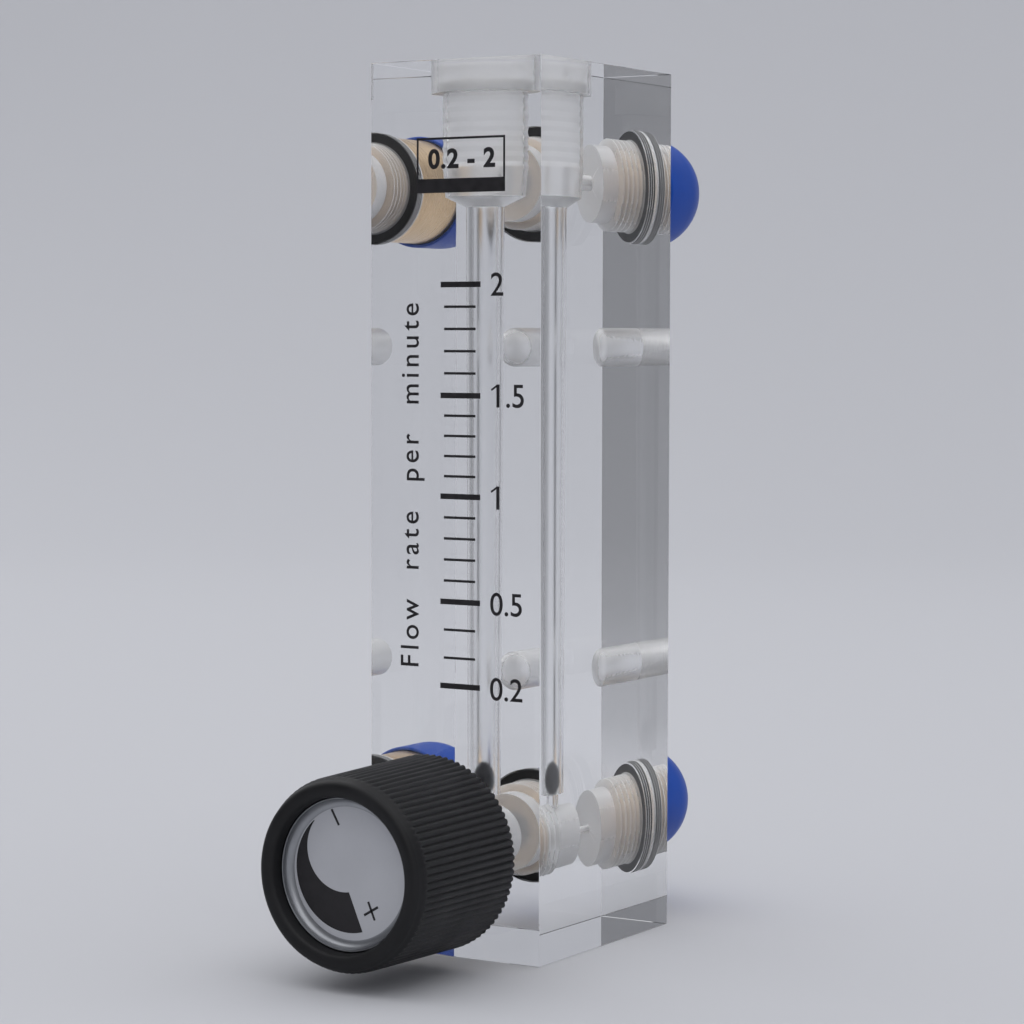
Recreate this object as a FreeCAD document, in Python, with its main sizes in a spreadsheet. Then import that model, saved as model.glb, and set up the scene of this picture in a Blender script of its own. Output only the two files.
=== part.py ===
import FreeCAD, Part
import os
import re
import Sketcher
from FreeCAD import Placement, Rotation, Vector

# Panel flow meter: a clear block with a tapered bore and a ball float, a needle valve at the
# lower front, and a hose fitting with a push-on cap at each of the two ports in its back.
#
# Frame: +Z up, the front faces -Y, the origin is the middle of the block's underside.
# Turned pieces are drawn as half outlines of (along, out) pairs: along the axis, and out from it.
# Rear pieces measure along from the block's back face and valve pieces from its front face,
# both outwards. The valve is drawn shut and the ball sits on its seat.

# Driving sizes in millimetres: name, value, meaning.
SIZES = [
    ("block_width", 25.0, "clear block, side to side"),
    ("block_depth", 33.0, "clear block, front to back"),
    ("block_height", 112.0, "clear block, foot to top"),
    ("bore_setback", 11.8, "front face to the axis of the metering bore"),
    ("port_height", 14.0, "foot to the axis of the inlet and the valve"),
    ("outlet_drop", 14.6, "top face to the axis of the outlet"),
    ("seat_rise", 5.7, "valve axis to the ball's seat"),
    ("seat_hole_dia", 2.4, "hole under the ball"),
    ("bore_low_dia", 4.55, "metering bore at the seat"),
    ("bore_high_dia", 5.3, "metering bore at its top"),
    ("ball_dia", 4.35, "ball float"),
    ("plug_thread_dia", 12.0, "tapped hole over the bore, M12"),
    ("plug_hole_depth", 16.7, "top face to the foot of the tapped hole"),
    ("plug_cone_height", 1.3, "cone from the tapped hole down to the bore"),
    ("plug_seat_dia", 15.0, "counterbore for the plug's head"),
    ("plug_seat_depth", 3.7, "depth of that counterbore"),
    ("plug_head_play", 0.2, "gap round the plug's head, and its depth below the top face"),
    ("plug_chamber", 4.2, "free height between the foot of the tapped hole and the plug's thread"),
    ("plug_nose_dia", 4.0, "nose that stops the ball"),
    ("plug_nose_rise", 0.3, "foot of the tapped hole to the tip of the nose"),
    ("plug_hex", 6.0, "hexagon socket in the plug"),
    ("plug_hex_depth", 4.0, "depth of that socket"),
    ("port_thread_dia", 12.0, "rear ports, M12"),
    ("port_thread_depth", 8.8, "back face to the end of the full thread"),
    ("port_drill_dia", 10.0, "drilled end of a rear port"),
    ("port_depth", 12.3, "back face to the flat end of a rear port"),
    ("port_recess_dia", 14.9, "recess for the port's ring"),
    ("port_recess_depth", 2.2, "depth of that recess"),
    ("outlet_hole_dia", 2.0, "passage from the plug's chamber to the outlet"),
    ("orifice_dia", 1.0, "hole that the needle shuts"),
    ("valve_port_dia", 9.0, "front port of the valve, M9"),
    ("valve_thread_depth", 12.6, "front face to the end of the full thread"),
    ("valve_chamber_dia", 8.0, "drilled end of the valve port"),
    ("valve_chamber_reach", 4.2, "bore axis to the flat end of the valve port"),
    ("valve_recess_dia", 11.6, "recess for the bonnet's ring"),
    ("mount_hole_dia", 5.0, "tapped blind hole in the back, M5"),
    ("mount_hole_depth", 9.2, "full depth of a blind hole"),
    ("mount_tip_length", 1.3, "drill point beyond it"),
    ("mount_hole_height", 34.7, "foot to the lower blind hole"),
    ("mount_hole_spacing", 41.7, "lower to upper blind hole"),
    ("ring_section", 1.48, "section of the rings at the plug and the rear ports"),
    ("ring_play", 0.01, "clearance on each side of a ring"),
    ("thread_play", 0.1, "clearance round a large outer thread"),
    ("stub_gap", 1.8, "end of a fitting to the flat end of its port"),
    ("stub_thread_gap", 0.4, "end of a fitting's thread to the end of the port's thread"),
    ("stub_nose_dia", 9.4, "plain end of a fitting, past its thread"),
    ("fitting_bore_dia", 5.0, "passage through a fitting"),
    ("collar_dia", 14.0, "round collar of a fitting"),
    ("collar_length", 13.2, "back face to the end of the collar"),
    ("hose_port_dia", 8.8, "tapped hole in a fitting, G 1/8"),
    ("hose_port_depth", 7.5, "depth of that hole"),
    ("edge_break", 0.5, "chamfer on a fitting's and the plug's ends"),
    ("cap_play", 0.05, "clearance between a cap and the collar"),
    ("cap_wall", 0.5, "wall of a cap"),
    ("cap_skirt", 5.75, "straight part of a cap"),
    ("outlet_cap_gap", 9.7, "back face to the mouth of the upper cap"),
    ("inlet_cap_gap", 7.4, "back face to the mouth of the lower cap"),
    ("fine_play", 0.05, "clearance round a small thread or a guided shaft"),
    ("bonnet_setback", 3.8, "inner end of the bonnet to the bore axis"),
    ("bonnet_hex", 14.0, "across the flats of the bonnet's flange"),
    ("bonnet_flange", 2.5, "thickness of that flange"),
    ("bonnet_neck_dia", 9.0, "outer thread of the bonnet's neck"),
    ("bonnet_neck_end", 6.3, "front face to the end of the neck"),
    ("bonnet_ring_section", 1.18, "section of the ring under the flange"),
    ("guide_dia", 6.8, "smooth bore that the stem's land slides in"),
    ("guide_setback", 2.6, "front face to the inner end of the smooth bore"),
    ("stem_thread_dia", 6.0, "screwed part of the stem"),
    ("stem_thread_end", 3.0, "front face to the outer end of the stem's thread"),
    ("stem_thread_gap", 0.5, "stem's thread to the inner end of the bonnet"),
    ("land_play", 0.1, "clearance round the stem's land"),
    ("land_setback", 2.4, "front face to the inner end of the land"),
    ("land_reach", 1.4, "front face to the outer end of the land"),
    ("stem_relief_dia", 5.0, "stem between its thread and its land"),
    ("groove_dia", 3.8, "bottom of the groove for the stem's ring"),
    ("groove_setback", 0.5, "front face to the middle of that groove"),
    ("groove_play", 0.04, "clearance on each side of the ring in its groove"),
    ("stem_ring_section", 1.46, "section of the stem's ring"),
    ("shank_dia", 3.0, "stem inside the valve chamber"),
    ("shank_gap", 1.1, "end of the shank to the flat end of the chamber"),
    ("needle_dia", 0.9, "needle where it fills the orifice"),
    ("needle_tip_dia", 0.3, "tip of the needle"),
    ("needle_reach", 4.2, "flat end of the chamber to the tip of the needle"),
    ("shaft_dia", 4.0, "outer shaft of the stem"),
    ("washer_thickness", 0.7, "gland washer"),
    ("washer_dia", 8.4, "outside of the gland washer"),
    ("gland_hex", 12.0, "across the flats of the gland nut"),
    ("gland_overlap", 3.0, "length of neck that the nut covers"),
    ("gland_wall", 1.2, "end wall of the nut"),
    ("gland_play", 0.2, "gap between the nut's end wall and the shaft"),
    ("knob_gap", 5.15, "front face to the rear of the shut knob"),
    ("knob_length", 20.6, "knob, front to back"),
    ("knob_dia", 24.4, "knob over its ribs"),
    ("knob_shoulder", 2.6, "length of the plain taper at the knob's front"),
    ("knob_taper", 0.35, "how far that taper closes in"),
    ("knob_round", 0.8, "rounded front edge of the knob"),
    ("rib_count", 84, "ribs round the knob"),
    ("rib_depth", 0.45, "depth of the grooves between the ribs"),
    ("rib_top", 0.62, "width of a groove at its mouth"),
    ("rib_floor", 0.2, "width of a groove at its floor"),
    ("rib_run", 0.3, "how far the grooves run into the taper"),
    ("nut_clearance", 0.7, "clearance round the gland nut in the knob's rear"),
    ("bush_dia", 8.0, "brass bush in the knob"),
    ("bush_depth", 16.3, "rear of the knob to the front end of the bush"),
    ("bush_play", 0.02, "clearance round the bush"),
    ("shaft_short", 0.8, "shaft's end short of the bush's front end"),
    ("dish_rim", 2.7, "rim of the knob round the recess in its front"),
    ("dish_recess_depth", 3.5, "depth of that recess"),
    ("dish_lead", 0.4, "chamfer at the mouth of that recess"),
    ("dish_play", 0.1, "gap round the dished plate"),
    ("dish_floor", 0.8, "thickness of the plate's floor"),
    ("dish_edge", 0.25, "width of the plate's bright edge"),
    ("dish_cove", 1.6, "radius of the hollow round the plate"),
    ("dish_lip", 0.2, "straight wall above that hollow"),
    ("screw_dia", 3.0, "set screw, M3"),
    ("screw_length", 6.0, "length of the set screw"),
    ("screw_setback", 11.85, "rear of the knob to the set screw's axis"),
    ("screw_hex", 1.5, "hexagon socket in the set screw"),
]

NAMES = {name for name, value, meaning in SIZES}

# Heights above the block's foot that several pieces share.
SEAT_HEIGHT = "(port_height + seat_rise)"
OUTLET_HEIGHT = "(block_height - outlet_drop)"
PLUG_HOLE_FOOT = "(block_height - plug_hole_depth)"

# Distances that several rear pieces share, from the back face.
COLLAR_FACE = "(ring_section + 2 * ring_play - port_recess_depth)"
STUB_RADIUS = "(port_thread_dia / 2 - thread_play)"

# Distances that several valve pieces share, from the front face.
CHAMBER_END = "(bore_setback + valve_chamber_reach)"
BONNET_END = "(bore_setback - bonnet_setback)"
BONNET_RADIUS = "(valve_port_dia / 2 - fine_play)"
WASHER_END = "(bonnet_neck_end + washer_thickness)"
BUSH_RADIUS = "(bush_dia / 2 - bush_play)"
DISH_SEAT = "(knob_length - dish_recess_depth)"
DISH_RADIUS = "(knob_dia / 2 - dish_rim)"
NUT_RECESS_RADIUS = "(gland_hex / sqrt(3) + nut_clearance)"
NUT_RECESS_END = f"({WASHER_END} + gland_wall + nut_clearance - knob_gap)"

FRONT_FACE = Rotation(Vector(0, 0, 1), 180)
BACK_FACE = Rotation()

doc = FreeCAD.newDocument("flow_meter")
sheet = doc.addObject("Spreadsheet::Sheet", "Sizes")
for row, (size_name, size_value, size_meaning) in enumerate(SIZES, start=1):
    sheet.set(f"A{row}", size_name)
    sheet.set(f"B{row}", str(size_value))
    sheet.set(f"C{row}", size_meaning)
    sheet.setAlias(f"B{row}", size_name)
doc.recompute()


def formula(text):
    """Point the size names of a formula at the sheet."""
    def link(match):
        word = match.group()
        return "Sizes." + word if word in NAMES else word
    return re.sub(r"[a-z]\w+", link, text)


def value(text):
    """Give a formula's present value."""
    return float(sheet.evalExpression(formula(text)))


def bind(thing, **formulas):
    """Bind properties of a document object to formulas, with __ for a dot in their names."""
    for prop, text in formulas.items():
        thing.setExpression(prop.replace("__", "."), formula(text))


def origin_feature(body, role):
    """Find a body's own base plane or axis."""
    return next(item for item in body.Origin.OriginFeatures if item.Role == role)


def new_body(label):
    """Start a sub-part."""
    body = doc.addObject("PartDesign::Body", label)
    body.Label = label
    return body


def new_sketch(body, name, plane, **offset):
    """Attach a sketch to one of the body's base planes, moved by offset formulas x, y, z."""
    sketch = body.newObject("Sketcher::SketchObject", name)
    sketch.AttachmentSupport = [(origin_feature(body, plane), "")]
    sketch.MapMode = "FlatFace"
    for axis, text in offset.items():
        sketch.setExpression(f"AttachmentOffset.Base.{axis}", formula(text))
    return sketch


def pin_point(sketch, geometry, point, x=None, y=None):
    """Hold a sketch point at formulas for its distances from the sketch's origin."""
    for kind, text in (("DistanceX", x), ("DistanceY", y)):
        if text is not None:
            held = Sketcher.Constraint(kind, -1, 1, geometry, point, value(text))
            index = sketch.addConstraint(held)
            sketch.setExpression(f"Constraints[{index}]", formula(text))


def draw_arc(sketch, start, end, centre):
    """Draw the shorter arc between two points, and tell which ends of it they are."""
    first = start - centre
    last = end - centre
    counter_clockwise = first.cross(last).z > 0
    if not counter_clockwise:
        first, last = last, first
    circle = Part.Circle(centre, Vector(0, 0, 1), first.Length)
    east = Vector(1, 0, 0)
    angles = [east.getAngle(arm) if arm.y >= 0 else -east.getAngle(arm) for arm in (first, last)]
    sketch.addGeometry(Part.ArcOfCircle(circle, angles[0], angles[1]))
    return (1, 2) if counter_clockwise else (2, 1)


def draw_outline(sketch, points, centres=None, upright=False):
    """Draw a closed outline through (along, out) formulas.

    centres gives the centre of each stretch that is an arc, by the number of its first point.
    An upright outline runs along the sketch's second axis.
    """
    centres = centres or {}
    order = (1, 0) if upright else (0, 1)
    places = [(pair[order[0]], pair[order[1]]) for pair in points]
    corners = [Vector(value(x), value(y), 0) for x, y in places]
    middles = {number: (pair[order[0]], pair[order[1]]) for number, pair in centres.items()}
    ends = []
    for number, start in enumerate(corners):
        end = corners[(number + 1) % len(corners)]
        if number in middles:
            x, y = middles[number]
            ends.append(draw_arc(sketch, start, end, Vector(value(x), value(y), 0)))
            pin_point(sketch, number, 3, x, y)
        else:
            sketch.addGeometry(Part.LineSegment(start, end))
            ends.append((1, 2))
    for number, (x, y) in enumerate(places):
        before = number - 1 if number else len(places) - 1
        joined = Sketcher.Constraint("Coincident", before, ends[before][1], number, ends[number][0])
        sketch.addConstraint(joined)
        if before in middles:
            # An arc already fixes its end, but for its place along the arc.
            middle = Vector(value(middles[before][0]), value(middles[before][1]), 0)
            arm = corners[number] - middle
            steep = abs(arm.x) < abs(arm.y)
            pin_point(sketch, number, ends[number][0], x if steep else None, None if steep else y)
        else:
            pin_point(sketch, number, ends[number][0], x, y)


def draw_hexagon(sketch, across_flats):
    """Draw a hexagon about the sketch's origin, with two flats across its first axis."""
    flat = f"{across_flats} / 2"
    corner = f"{across_flats} / sqrt(3)"
    half = f"{across_flats} / sqrt(12)"
    points = [
        (flat, f"0 - {half}"),
        (flat, half),
        ("0", corner),
        (f"0 - {flat}", half),
        (f"0 - {flat}", f"0 - {half}"),
        ("0", f"0 - {corner}"),
    ]
    draw_outline(sketch, points)


def turn(body, name, points, centres=None, upright=False):
    """Turn an outline round the body's own axis: Y, or Z when upright."""
    sketch = new_sketch(body, name + "_outline", "XZ_Plane" if upright else "YZ_Plane")
    draw_outline(sketch, points, centres, upright)
    solid = body.newObject("PartDesign::Revolution", name)
    solid.Profile = sketch
    solid.ReferenceAxis = (sketch, ["V_Axis" if upright else "H_Axis"])
    solid.Angle = 360
    return solid


def check_cut(cut):
    """Make sure that a cut took material away."""
    doc.recompute()
    if not cut.Shape.Volume < cut.BaseFeature.Shape.Volume - 1e-4:
        raise RuntimeError(cut.Name + " cuts nothing")


def bore(body, name, points, upright=False, **offset):
    """Cut an outline turned round its sketch's axis, moved by offset formulas."""
    plane = "XZ_Plane" if upright else "YZ_Plane"
    sketch = new_sketch(body, name + "_outline", plane, **offset)
    draw_outline(sketch, points, upright=upright)
    cut = body.newObject("PartDesign::Groove", name)
    cut.Profile = sketch
    cut.ReferenceAxis = (sketch, ["V_Axis" if upright else "H_Axis"])
    cut.Angle = 360
    check_cut(cut)
    return cut


def cut_hexagon(body, name, across_flats, depth, plane, **offset):
    """Cut a hexagon socket down from its plane."""
    sketch = new_sketch(body, name + "_outline", plane, **offset)
    draw_hexagon(sketch, across_flats)
    cut = body.newObject("PartDesign::Pocket", name)
    cut.Profile = sketch
    bind(cut, Length=depth)
    check_cut(cut)
    return cut


def pad_hexagon(body, name, across_flats, start, length):
    """Stand a hexagon on the body's Y axis, from start and along it by length."""
    sketch = new_sketch(body, name + "_outline", "XZ_Plane", z=f"0 - ({start})")
    draw_hexagon(sketch, across_flats)
    pad = body.newObject("PartDesign::Pad", name)
    pad.Profile = sketch
    pad.Reversed = True
    bind(pad, Length=length)
    return pad


def new_ring(label, inner_radius, section):
    """Make a rubber ring from the radius that it closes on and its section."""
    ring = doc.addObject("Part::Torus", label)
    ring.Label = label
    bind(ring, Radius1=f"{inner_radius} + {section} / 2", Radius2=f"{section} / 2")
    return ring


def place_front(piece, along="0"):
    """Put a piece on the valve's axis, along outwards from the block's front face."""
    piece.Placement = Placement(Vector(), FRONT_FACE)
    y = f"0 - block_depth / 2 - ({along})"
    bind(piece, Placement__Base__y=y, Placement__Base__z="port_height")


def place_back(piece, height, along="0"):
    """Put a piece on a rear port's axis, along outwards from the block's back face."""
    piece.Placement = Placement(Vector(), BACK_FACE)
    bind(piece, Placement__Base__y=f"block_depth / 2 + ({along})", Placement__Base__z=height)


def lay_ring(ring, y, z):
    """Lay a ring's axis along Y, with its middle at y and z."""
    ring.Placement = Placement(Vector(), Rotation(Vector(1, 0, 0), 90))
    bind(ring, Placement__Base__y=y, Placement__Base__z=z)


def place_top(piece, drop="0"):
    """Put a piece on the bore's axis, a drop below the block's top face."""
    bind(piece, Placement__Base__y="bore_setback - block_depth / 2")
    bind(piece, Placement__Base__z=f"block_height - ({drop})")


def make_body_block():
    """Clear block with the metering bore, the plug's hole, the ports and the blind holes."""
    body = new_body("body_block")
    sketch = new_sketch(body, "block_foot", "XY_Plane")
    side = "block_width / 2"
    face = "block_depth / 2"
    draw_outline(sketch, [
        (f"0 - {side}", f"0 - {face}"),
        (side, f"0 - {face}"),
        (side, face),
        (f"0 - {side}", face),
    ])
    pad = body.newObject("PartDesign::Pad", "block_pad")
    pad.Profile = sketch
    bind(pad, Length="block_height")

    bore(body, "metering_bore", [
        ("port_height", "0"),
        ("port_height", "seat_hole_dia / 2"),
        (SEAT_HEIGHT, "seat_hole_dia / 2"),
        (SEAT_HEIGHT, "bore_low_dia / 2"),
        (f"{PLUG_HOLE_FOOT} - plug_cone_height", "bore_high_dia / 2"),
        (PLUG_HOLE_FOOT, "plug_thread_dia / 2"),
        ("block_height - plug_seat_depth", "plug_thread_dia / 2"),
        ("block_height - plug_seat_depth", "plug_seat_dia / 2"),
        ("block_height", "plug_seat_dia / 2"),
        ("block_height", "0"),
    ], upright=True, z="block_depth / 2 - bore_setback")

    bore(body, "valve_port", [
        (f"0 - {face}", "0"),
        (f"0 - {face}", "valve_recess_dia / 2"),
        (f"bonnet_ring_section + 2 * ring_play - {face}", "valve_recess_dia / 2"),
        (f"bonnet_ring_section + 2 * ring_play - {face}", "valve_port_dia / 2"),
        (f"valve_thread_depth - {face}", "valve_port_dia / 2"),
        (f"valve_thread_depth - {face}", "valve_chamber_dia / 2"),
        (f"{CHAMBER_END} - {face}", "valve_chamber_dia / 2"),
        (f"{CHAMBER_END} - {face}", "0"),
    ], y="port_height")

    rear_ports = [
        ("inlet_port", "port_height", "orifice_dia / 2"),
        ("outlet_port", OUTLET_HEIGHT, "outlet_hole_dia / 2"),
    ]
    for name, height, passage in rear_ports:
        bore(body, name, [
            (face, "0"),
            (face, "port_recess_dia / 2"),
            (f"{face} - port_recess_depth", "port_recess_dia / 2"),
            (f"{face} - port_recess_depth", "port_thread_dia / 2"),
            (f"{face} - port_thread_depth", "port_thread_dia / 2"),
            (f"{face} - port_thread_depth", "port_drill_dia / 2"),
            (f"{face} - port_depth", "port_drill_dia / 2"),
            (f"{face} - port_depth", passage),
            (f"bore_setback - {face}", passage),
            (f"bore_setback - {face}", "0"),
        ], y=height)

    for number in range(2):
        bore(body, f"mount_hole_{number + 1}", [
            (face, "0"),
            (face, "mount_hole_dia / 2"),
            (f"{face} - mount_hole_depth", "mount_hole_dia / 2"),
            (f"{face} - mount_hole_depth - mount_tip_length", "0"),
        ], y=f"mount_hole_height + {number} * mount_hole_spacing")
    return body


def make_top_plug():
    """Screwed plug with a hexagon socket, and a nose that stops the ball."""
    body = new_body("top_plug")
    head_radius = "plug_seat_dia / 2 - plug_head_play"
    head_foot = "ring_section + 2 * ring_play - plug_seat_depth"
    shank_radius = "plug_thread_dia / 2 - thread_play"
    shank_foot = "plug_chamber - plug_hole_depth"
    tip = "plug_nose_rise - plug_hole_depth"
    turn(body, "plug_body", [
        ("0 - plug_head_play", "0"),
        ("0 - plug_head_play", f"{head_radius} - edge_break"),
        ("0 - plug_head_play - edge_break", head_radius),
        (head_foot, head_radius),
        (head_foot, shank_radius),
        (f"{shank_foot} + edge_break", shank_radius),
        (shank_foot, f"{shank_radius} - edge_break"),
        (shank_foot, "plug_nose_dia / 2"),
        (f"{tip} + edge_break", "plug_nose_dia / 2"),
        (tip, "plug_nose_dia / 2 - edge_break"),
        (tip, "0"),
    ], upright=True)
    cut_hexagon(body, "plug_socket", "plug_hex", "plug_hex_depth", "XY_Plane", z="0 - plug_head_play")
    place_top(body)
    return body


def make_plug_seal():
    """Rubber ring under the plug's head."""
    ring = new_ring("plug_seal", "plug_thread_dia / 2 - thread_play + ring_play", "ring_section")
    place_top(ring, "plug_seat_depth - ring_play - ring_section / 2")
    return ring


def make_float_ball():
    """Ball float, on the rim of the hole under it."""
    ball = doc.addObject("Part::Sphere", "float_ball")
    ball.Label = "float_ball"
    rise = "sqrt((ball_dia / 2)^2 - (seat_hole_dia / 2)^2)"
    bind(ball, Radius="ball_dia / 2")
    bind(ball, Placement__Base__y="bore_setback - block_depth / 2")
    bind(ball, Placement__Base__z=f"{SEAT_HEIGHT} + {rise} + ring_play")
    return ball


def make_fitting(label, height):
    """Brass fitting: a screwed stub, a round collar and a tapped hole for the hose."""
    body = new_body(label)
    stub_end = "stub_gap - port_depth"
    collar = "collar_dia / 2"
    hose_radius = "hose_port_dia / 2"
    thread_end = "stub_thread_gap - port_thread_depth"
    turn(body, label + "_body", [
        (stub_end, "fitting_bore_dia / 2"),
        (stub_end, "stub_nose_dia / 2"),
        (thread_end, "stub_nose_dia / 2"),
        (thread_end, f"{STUB_RADIUS} - edge_break"),
        (f"{thread_end} + edge_break", STUB_RADIUS),
        (COLLAR_FACE, STUB_RADIUS),
        (COLLAR_FACE, collar),
        ("collar_length - edge_break", collar),
        ("collar_length", f"{collar} - edge_break"),
        ("collar_length", f"{hose_radius} + edge_break"),
        ("collar_length - edge_break", hose_radius),
        ("collar_length - hose_port_depth", hose_radius),
        ("collar_length - hose_port_depth - edge_break", "fitting_bore_dia / 2"),
    ])
    place_back(body, height)
    return body


def make_port_seal(label, height):
    """Rubber ring round a fitting's stub, in the recess of its port."""
    ring = new_ring(label, f"{STUB_RADIUS} + ring_play", "ring_section")
    middle = "port_recess_depth - ring_play - ring_section / 2"
    lay_ring(ring, f"block_depth / 2 - ({middle})", height)
    return ring


def make_cap(label, height, gap):
    """Soft push-on cap with a domed end."""
    body = new_body(label)
    inside = "(collar_dia / 2 + cap_play)"
    outside = "(collar_dia / 2 + cap_play + cap_wall)"
    turn(body, label + "_shell", [
        ("0", inside),
        ("0", outside),
        ("cap_skirt", outside),
        (f"cap_skirt + {outside}", "0"),
        (f"cap_skirt + {inside}", "0"),
        ("cap_skirt", inside),
    ], centres={2: ("cap_skirt", "0"), 4: ("cap_skirt", "0")})
    place_back(body, height, gap)
    return body


def make_valve_bushing():
    """Brass bonnet: a screwed stub, a hexagon flange and a neck, bored for the stem."""
    body = new_body("valve_bushing")
    turn(body, "bonnet_body", [
        (f"0 - {BONNET_END}", "0"),
        (f"0 - {BONNET_END}", BONNET_RADIUS),
        ("0", BONNET_RADIUS),
        ("0", "bonnet_neck_dia / 2"),
        ("bonnet_neck_end", "bonnet_neck_dia / 2"),
        ("bonnet_neck_end", "0"),
    ])
    pad_hexagon(body, "bonnet_hexagon", "bonnet_hex", "0", "bonnet_flange")
    bore(body, "bonnet_bore", [
        (f"0 - {BONNET_END}", "0"),
        (f"0 - {BONNET_END}", "stem_thread_dia / 2 + fine_play"),
        ("0 - guide_setback", "stem_thread_dia / 2 + fine_play"),
        ("0 - guide_setback", "guide_dia / 2"),
        ("bonnet_neck_end", "guide_dia / 2"),
        ("bonnet_neck_end", "0"),
    ])
    place_front(body)
    return body


def make_bushing_seal():
    """Rubber ring under the bonnet's flange, in the recess of the valve port."""
    ring = new_ring("bushing_seal", f"{BONNET_RADIUS} + ring_play", "bonnet_ring_section")
    lay_ring(ring, "bonnet_ring_section / 2 + ring_play - block_depth / 2", "port_height")
    return ring


def make_valve_stem():
    """Stem: needle, shank, screwed part, land with a ring groove, and the knob's shaft."""
    body = new_body("valve_stem")
    thread_start = f"stem_thread_gap + {BONNET_END}"
    land_radius = "guide_dia / 2 - land_play"
    groove_half = "(stem_ring_section / 2 + groove_play)"
    shaft_end = "knob_gap + bush_depth - shaft_short"
    turn(body, "stem_body", [
        (f"0 - {CHAMBER_END} - needle_reach", "0"),
        (f"0 - {CHAMBER_END} - needle_reach", "needle_tip_dia / 2"),
        (f"0 - {CHAMBER_END}", "needle_dia / 2"),
        (f"shank_gap - {CHAMBER_END}", "shank_dia / 2"),
        (f"0 - ({thread_start})", "shank_dia / 2"),
        (f"0 - ({thread_start})", "stem_thread_dia / 2"),
        ("0 - stem_thread_end", "stem_thread_dia / 2"),
        ("0 - stem_thread_end", "stem_relief_dia / 2"),
        ("0 - land_setback", "stem_relief_dia / 2"),
        ("0 - land_setback", land_radius),
        (f"0 - groove_setback - {groove_half}", land_radius),
        (f"0 - groove_setback - {groove_half}", "groove_dia / 2"),
        (f"{groove_half} - groove_setback", "groove_dia / 2"),
        (f"{groove_half} - groove_setback", land_radius),
        ("land_reach", land_radius),
        ("land_reach", "shaft_dia / 2"),
        (shaft_end, "shaft_dia / 2"),
        (shaft_end, "0"),
    ])
    place_front(body)
    return body


def make_stem_seal():
    """Rubber ring in the stem's groove."""
    ring = new_ring("stem_seal", "groove_dia / 2 + ring_play", "stem_ring_section")
    lay_ring(ring, "groove_setback - block_depth / 2", "port_height")
    return ring


def make_gland_washer():
    """Washer that closes the end of the bonnet's neck."""
    body = new_body("gland_washer")
    turn(body, "washer_body", [
        ("bonnet_neck_end", "shaft_dia / 2 + land_play"),
        ("bonnet_neck_end", "washer_dia / 2"),
        (WASHER_END, "washer_dia / 2"),
        (WASHER_END, "shaft_dia / 2 + land_play"),
    ])
    place_front(body)
    return body


def make_gland_nut():
    """Cap nut that holds the washer on the bonnet's neck."""
    body = new_body("gland_nut")
    start = "bonnet_neck_end - gland_overlap"
    length = "gland_overlap + washer_thickness + gland_wall"
    pad_hexagon(body, "gland_hexagon", "gland_hex", start, length)
    bore(body, "gland_bore", [
        (start, "0"),
        (start, "bonnet_neck_dia / 2 + fine_play"),
        (WASHER_END, "bonnet_neck_dia / 2 + fine_play"),
        (WASHER_END, "shaft_dia / 2 + gland_play"),
        (f"{WASHER_END} + gland_wall", "shaft_dia / 2 + gland_play"),
        (f"{WASHER_END} + gland_wall", "0"),
    ])
    place_front(body)
    return body


def cut_cross_hole(body, name, radius):
    """Cut the set screw's hole from the axis out through the underside."""
    sketch = new_sketch(body, name + "_outline", "XY_Plane")
    sketch.addGeometry(Part.Circle(Vector(0, value("screw_setback"), 0), Vector(0, 0, 1), value(radius)))
    pin_point(sketch, 0, 3, "0", "screw_setback")
    size = sketch.addConstraint(Sketcher.Constraint("Radius", 0, value(radius)))
    sketch.setExpression(f"Constraints[{size}]", formula(radius))
    cut = body.newObject("PartDesign::Pocket", name)
    cut.Profile = sketch
    bind(cut, Length="knob_dia / 2")
    check_cut(cut)
    return cut


def make_knob():
    """Black knob: ribs, plain tapered front, recesses for the plate and the gland nut."""
    body = new_body("knob")
    radius = "knob_dia / 2"
    taper_start = "knob_length - knob_shoulder"
    round_start = "knob_length - knob_round"
    turn(body, "knob_body", [
        ("bush_depth", "0"),
        ("bush_depth", "bush_dia / 2"),
        (NUT_RECESS_END, "bush_dia / 2"),
        (NUT_RECESS_END, NUT_RECESS_RADIUS),
        ("0", NUT_RECESS_RADIUS),
        ("0", radius),
        (taper_start, radius),
        (round_start, f"{radius} - knob_taper"),
        ("knob_length", f"{radius} - knob_taper - knob_round"),
        ("knob_length", f"{DISH_RADIUS} + dish_lead"),
        ("knob_length - dish_lead", DISH_RADIUS),
        (DISH_SEAT, DISH_RADIUS),
        (DISH_SEAT, "0"),
    ], centres={7: (round_start, f"{radius} - knob_taper - knob_round")})
    cut_cross_hole(body, "knob_screw_hole", "screw_dia / 2 + fine_play")

    # One groove between two ribs, from the rear face into the taper, and its copies.
    sketch = new_sketch(body, "rib_outline", "XZ_Plane")
    draw_outline(sketch, [
        ("0 - rib_floor / 2", f"{radius} - rib_depth"),
        ("rib_floor / 2", f"{radius} - rib_depth"),
        ("rib_top / 2", radius),
        ("rib_top / 2", f"{radius} + rib_depth"),
        ("0 - rib_top / 2", f"{radius} + rib_depth"),
        ("0 - rib_top / 2", radius),
    ])
    groove = body.newObject("PartDesign::Pocket", "rib_groove")
    groove.Profile = sketch
    bind(groove, Length=f"{taper_start} + rib_run")
    check_cut(groove)
    ribs = body.newObject("PartDesign::PolarPattern", "ribs")
    ribs.Originals = [groove]
    ribs.Axis = (origin_feature(body, "Y_Axis"), [""])
    ribs.Angle = 360
    bind(ribs, Occurrences="rib_count")
    body.Tip = ribs
    place_front(body, "knob_gap")
    return body


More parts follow.
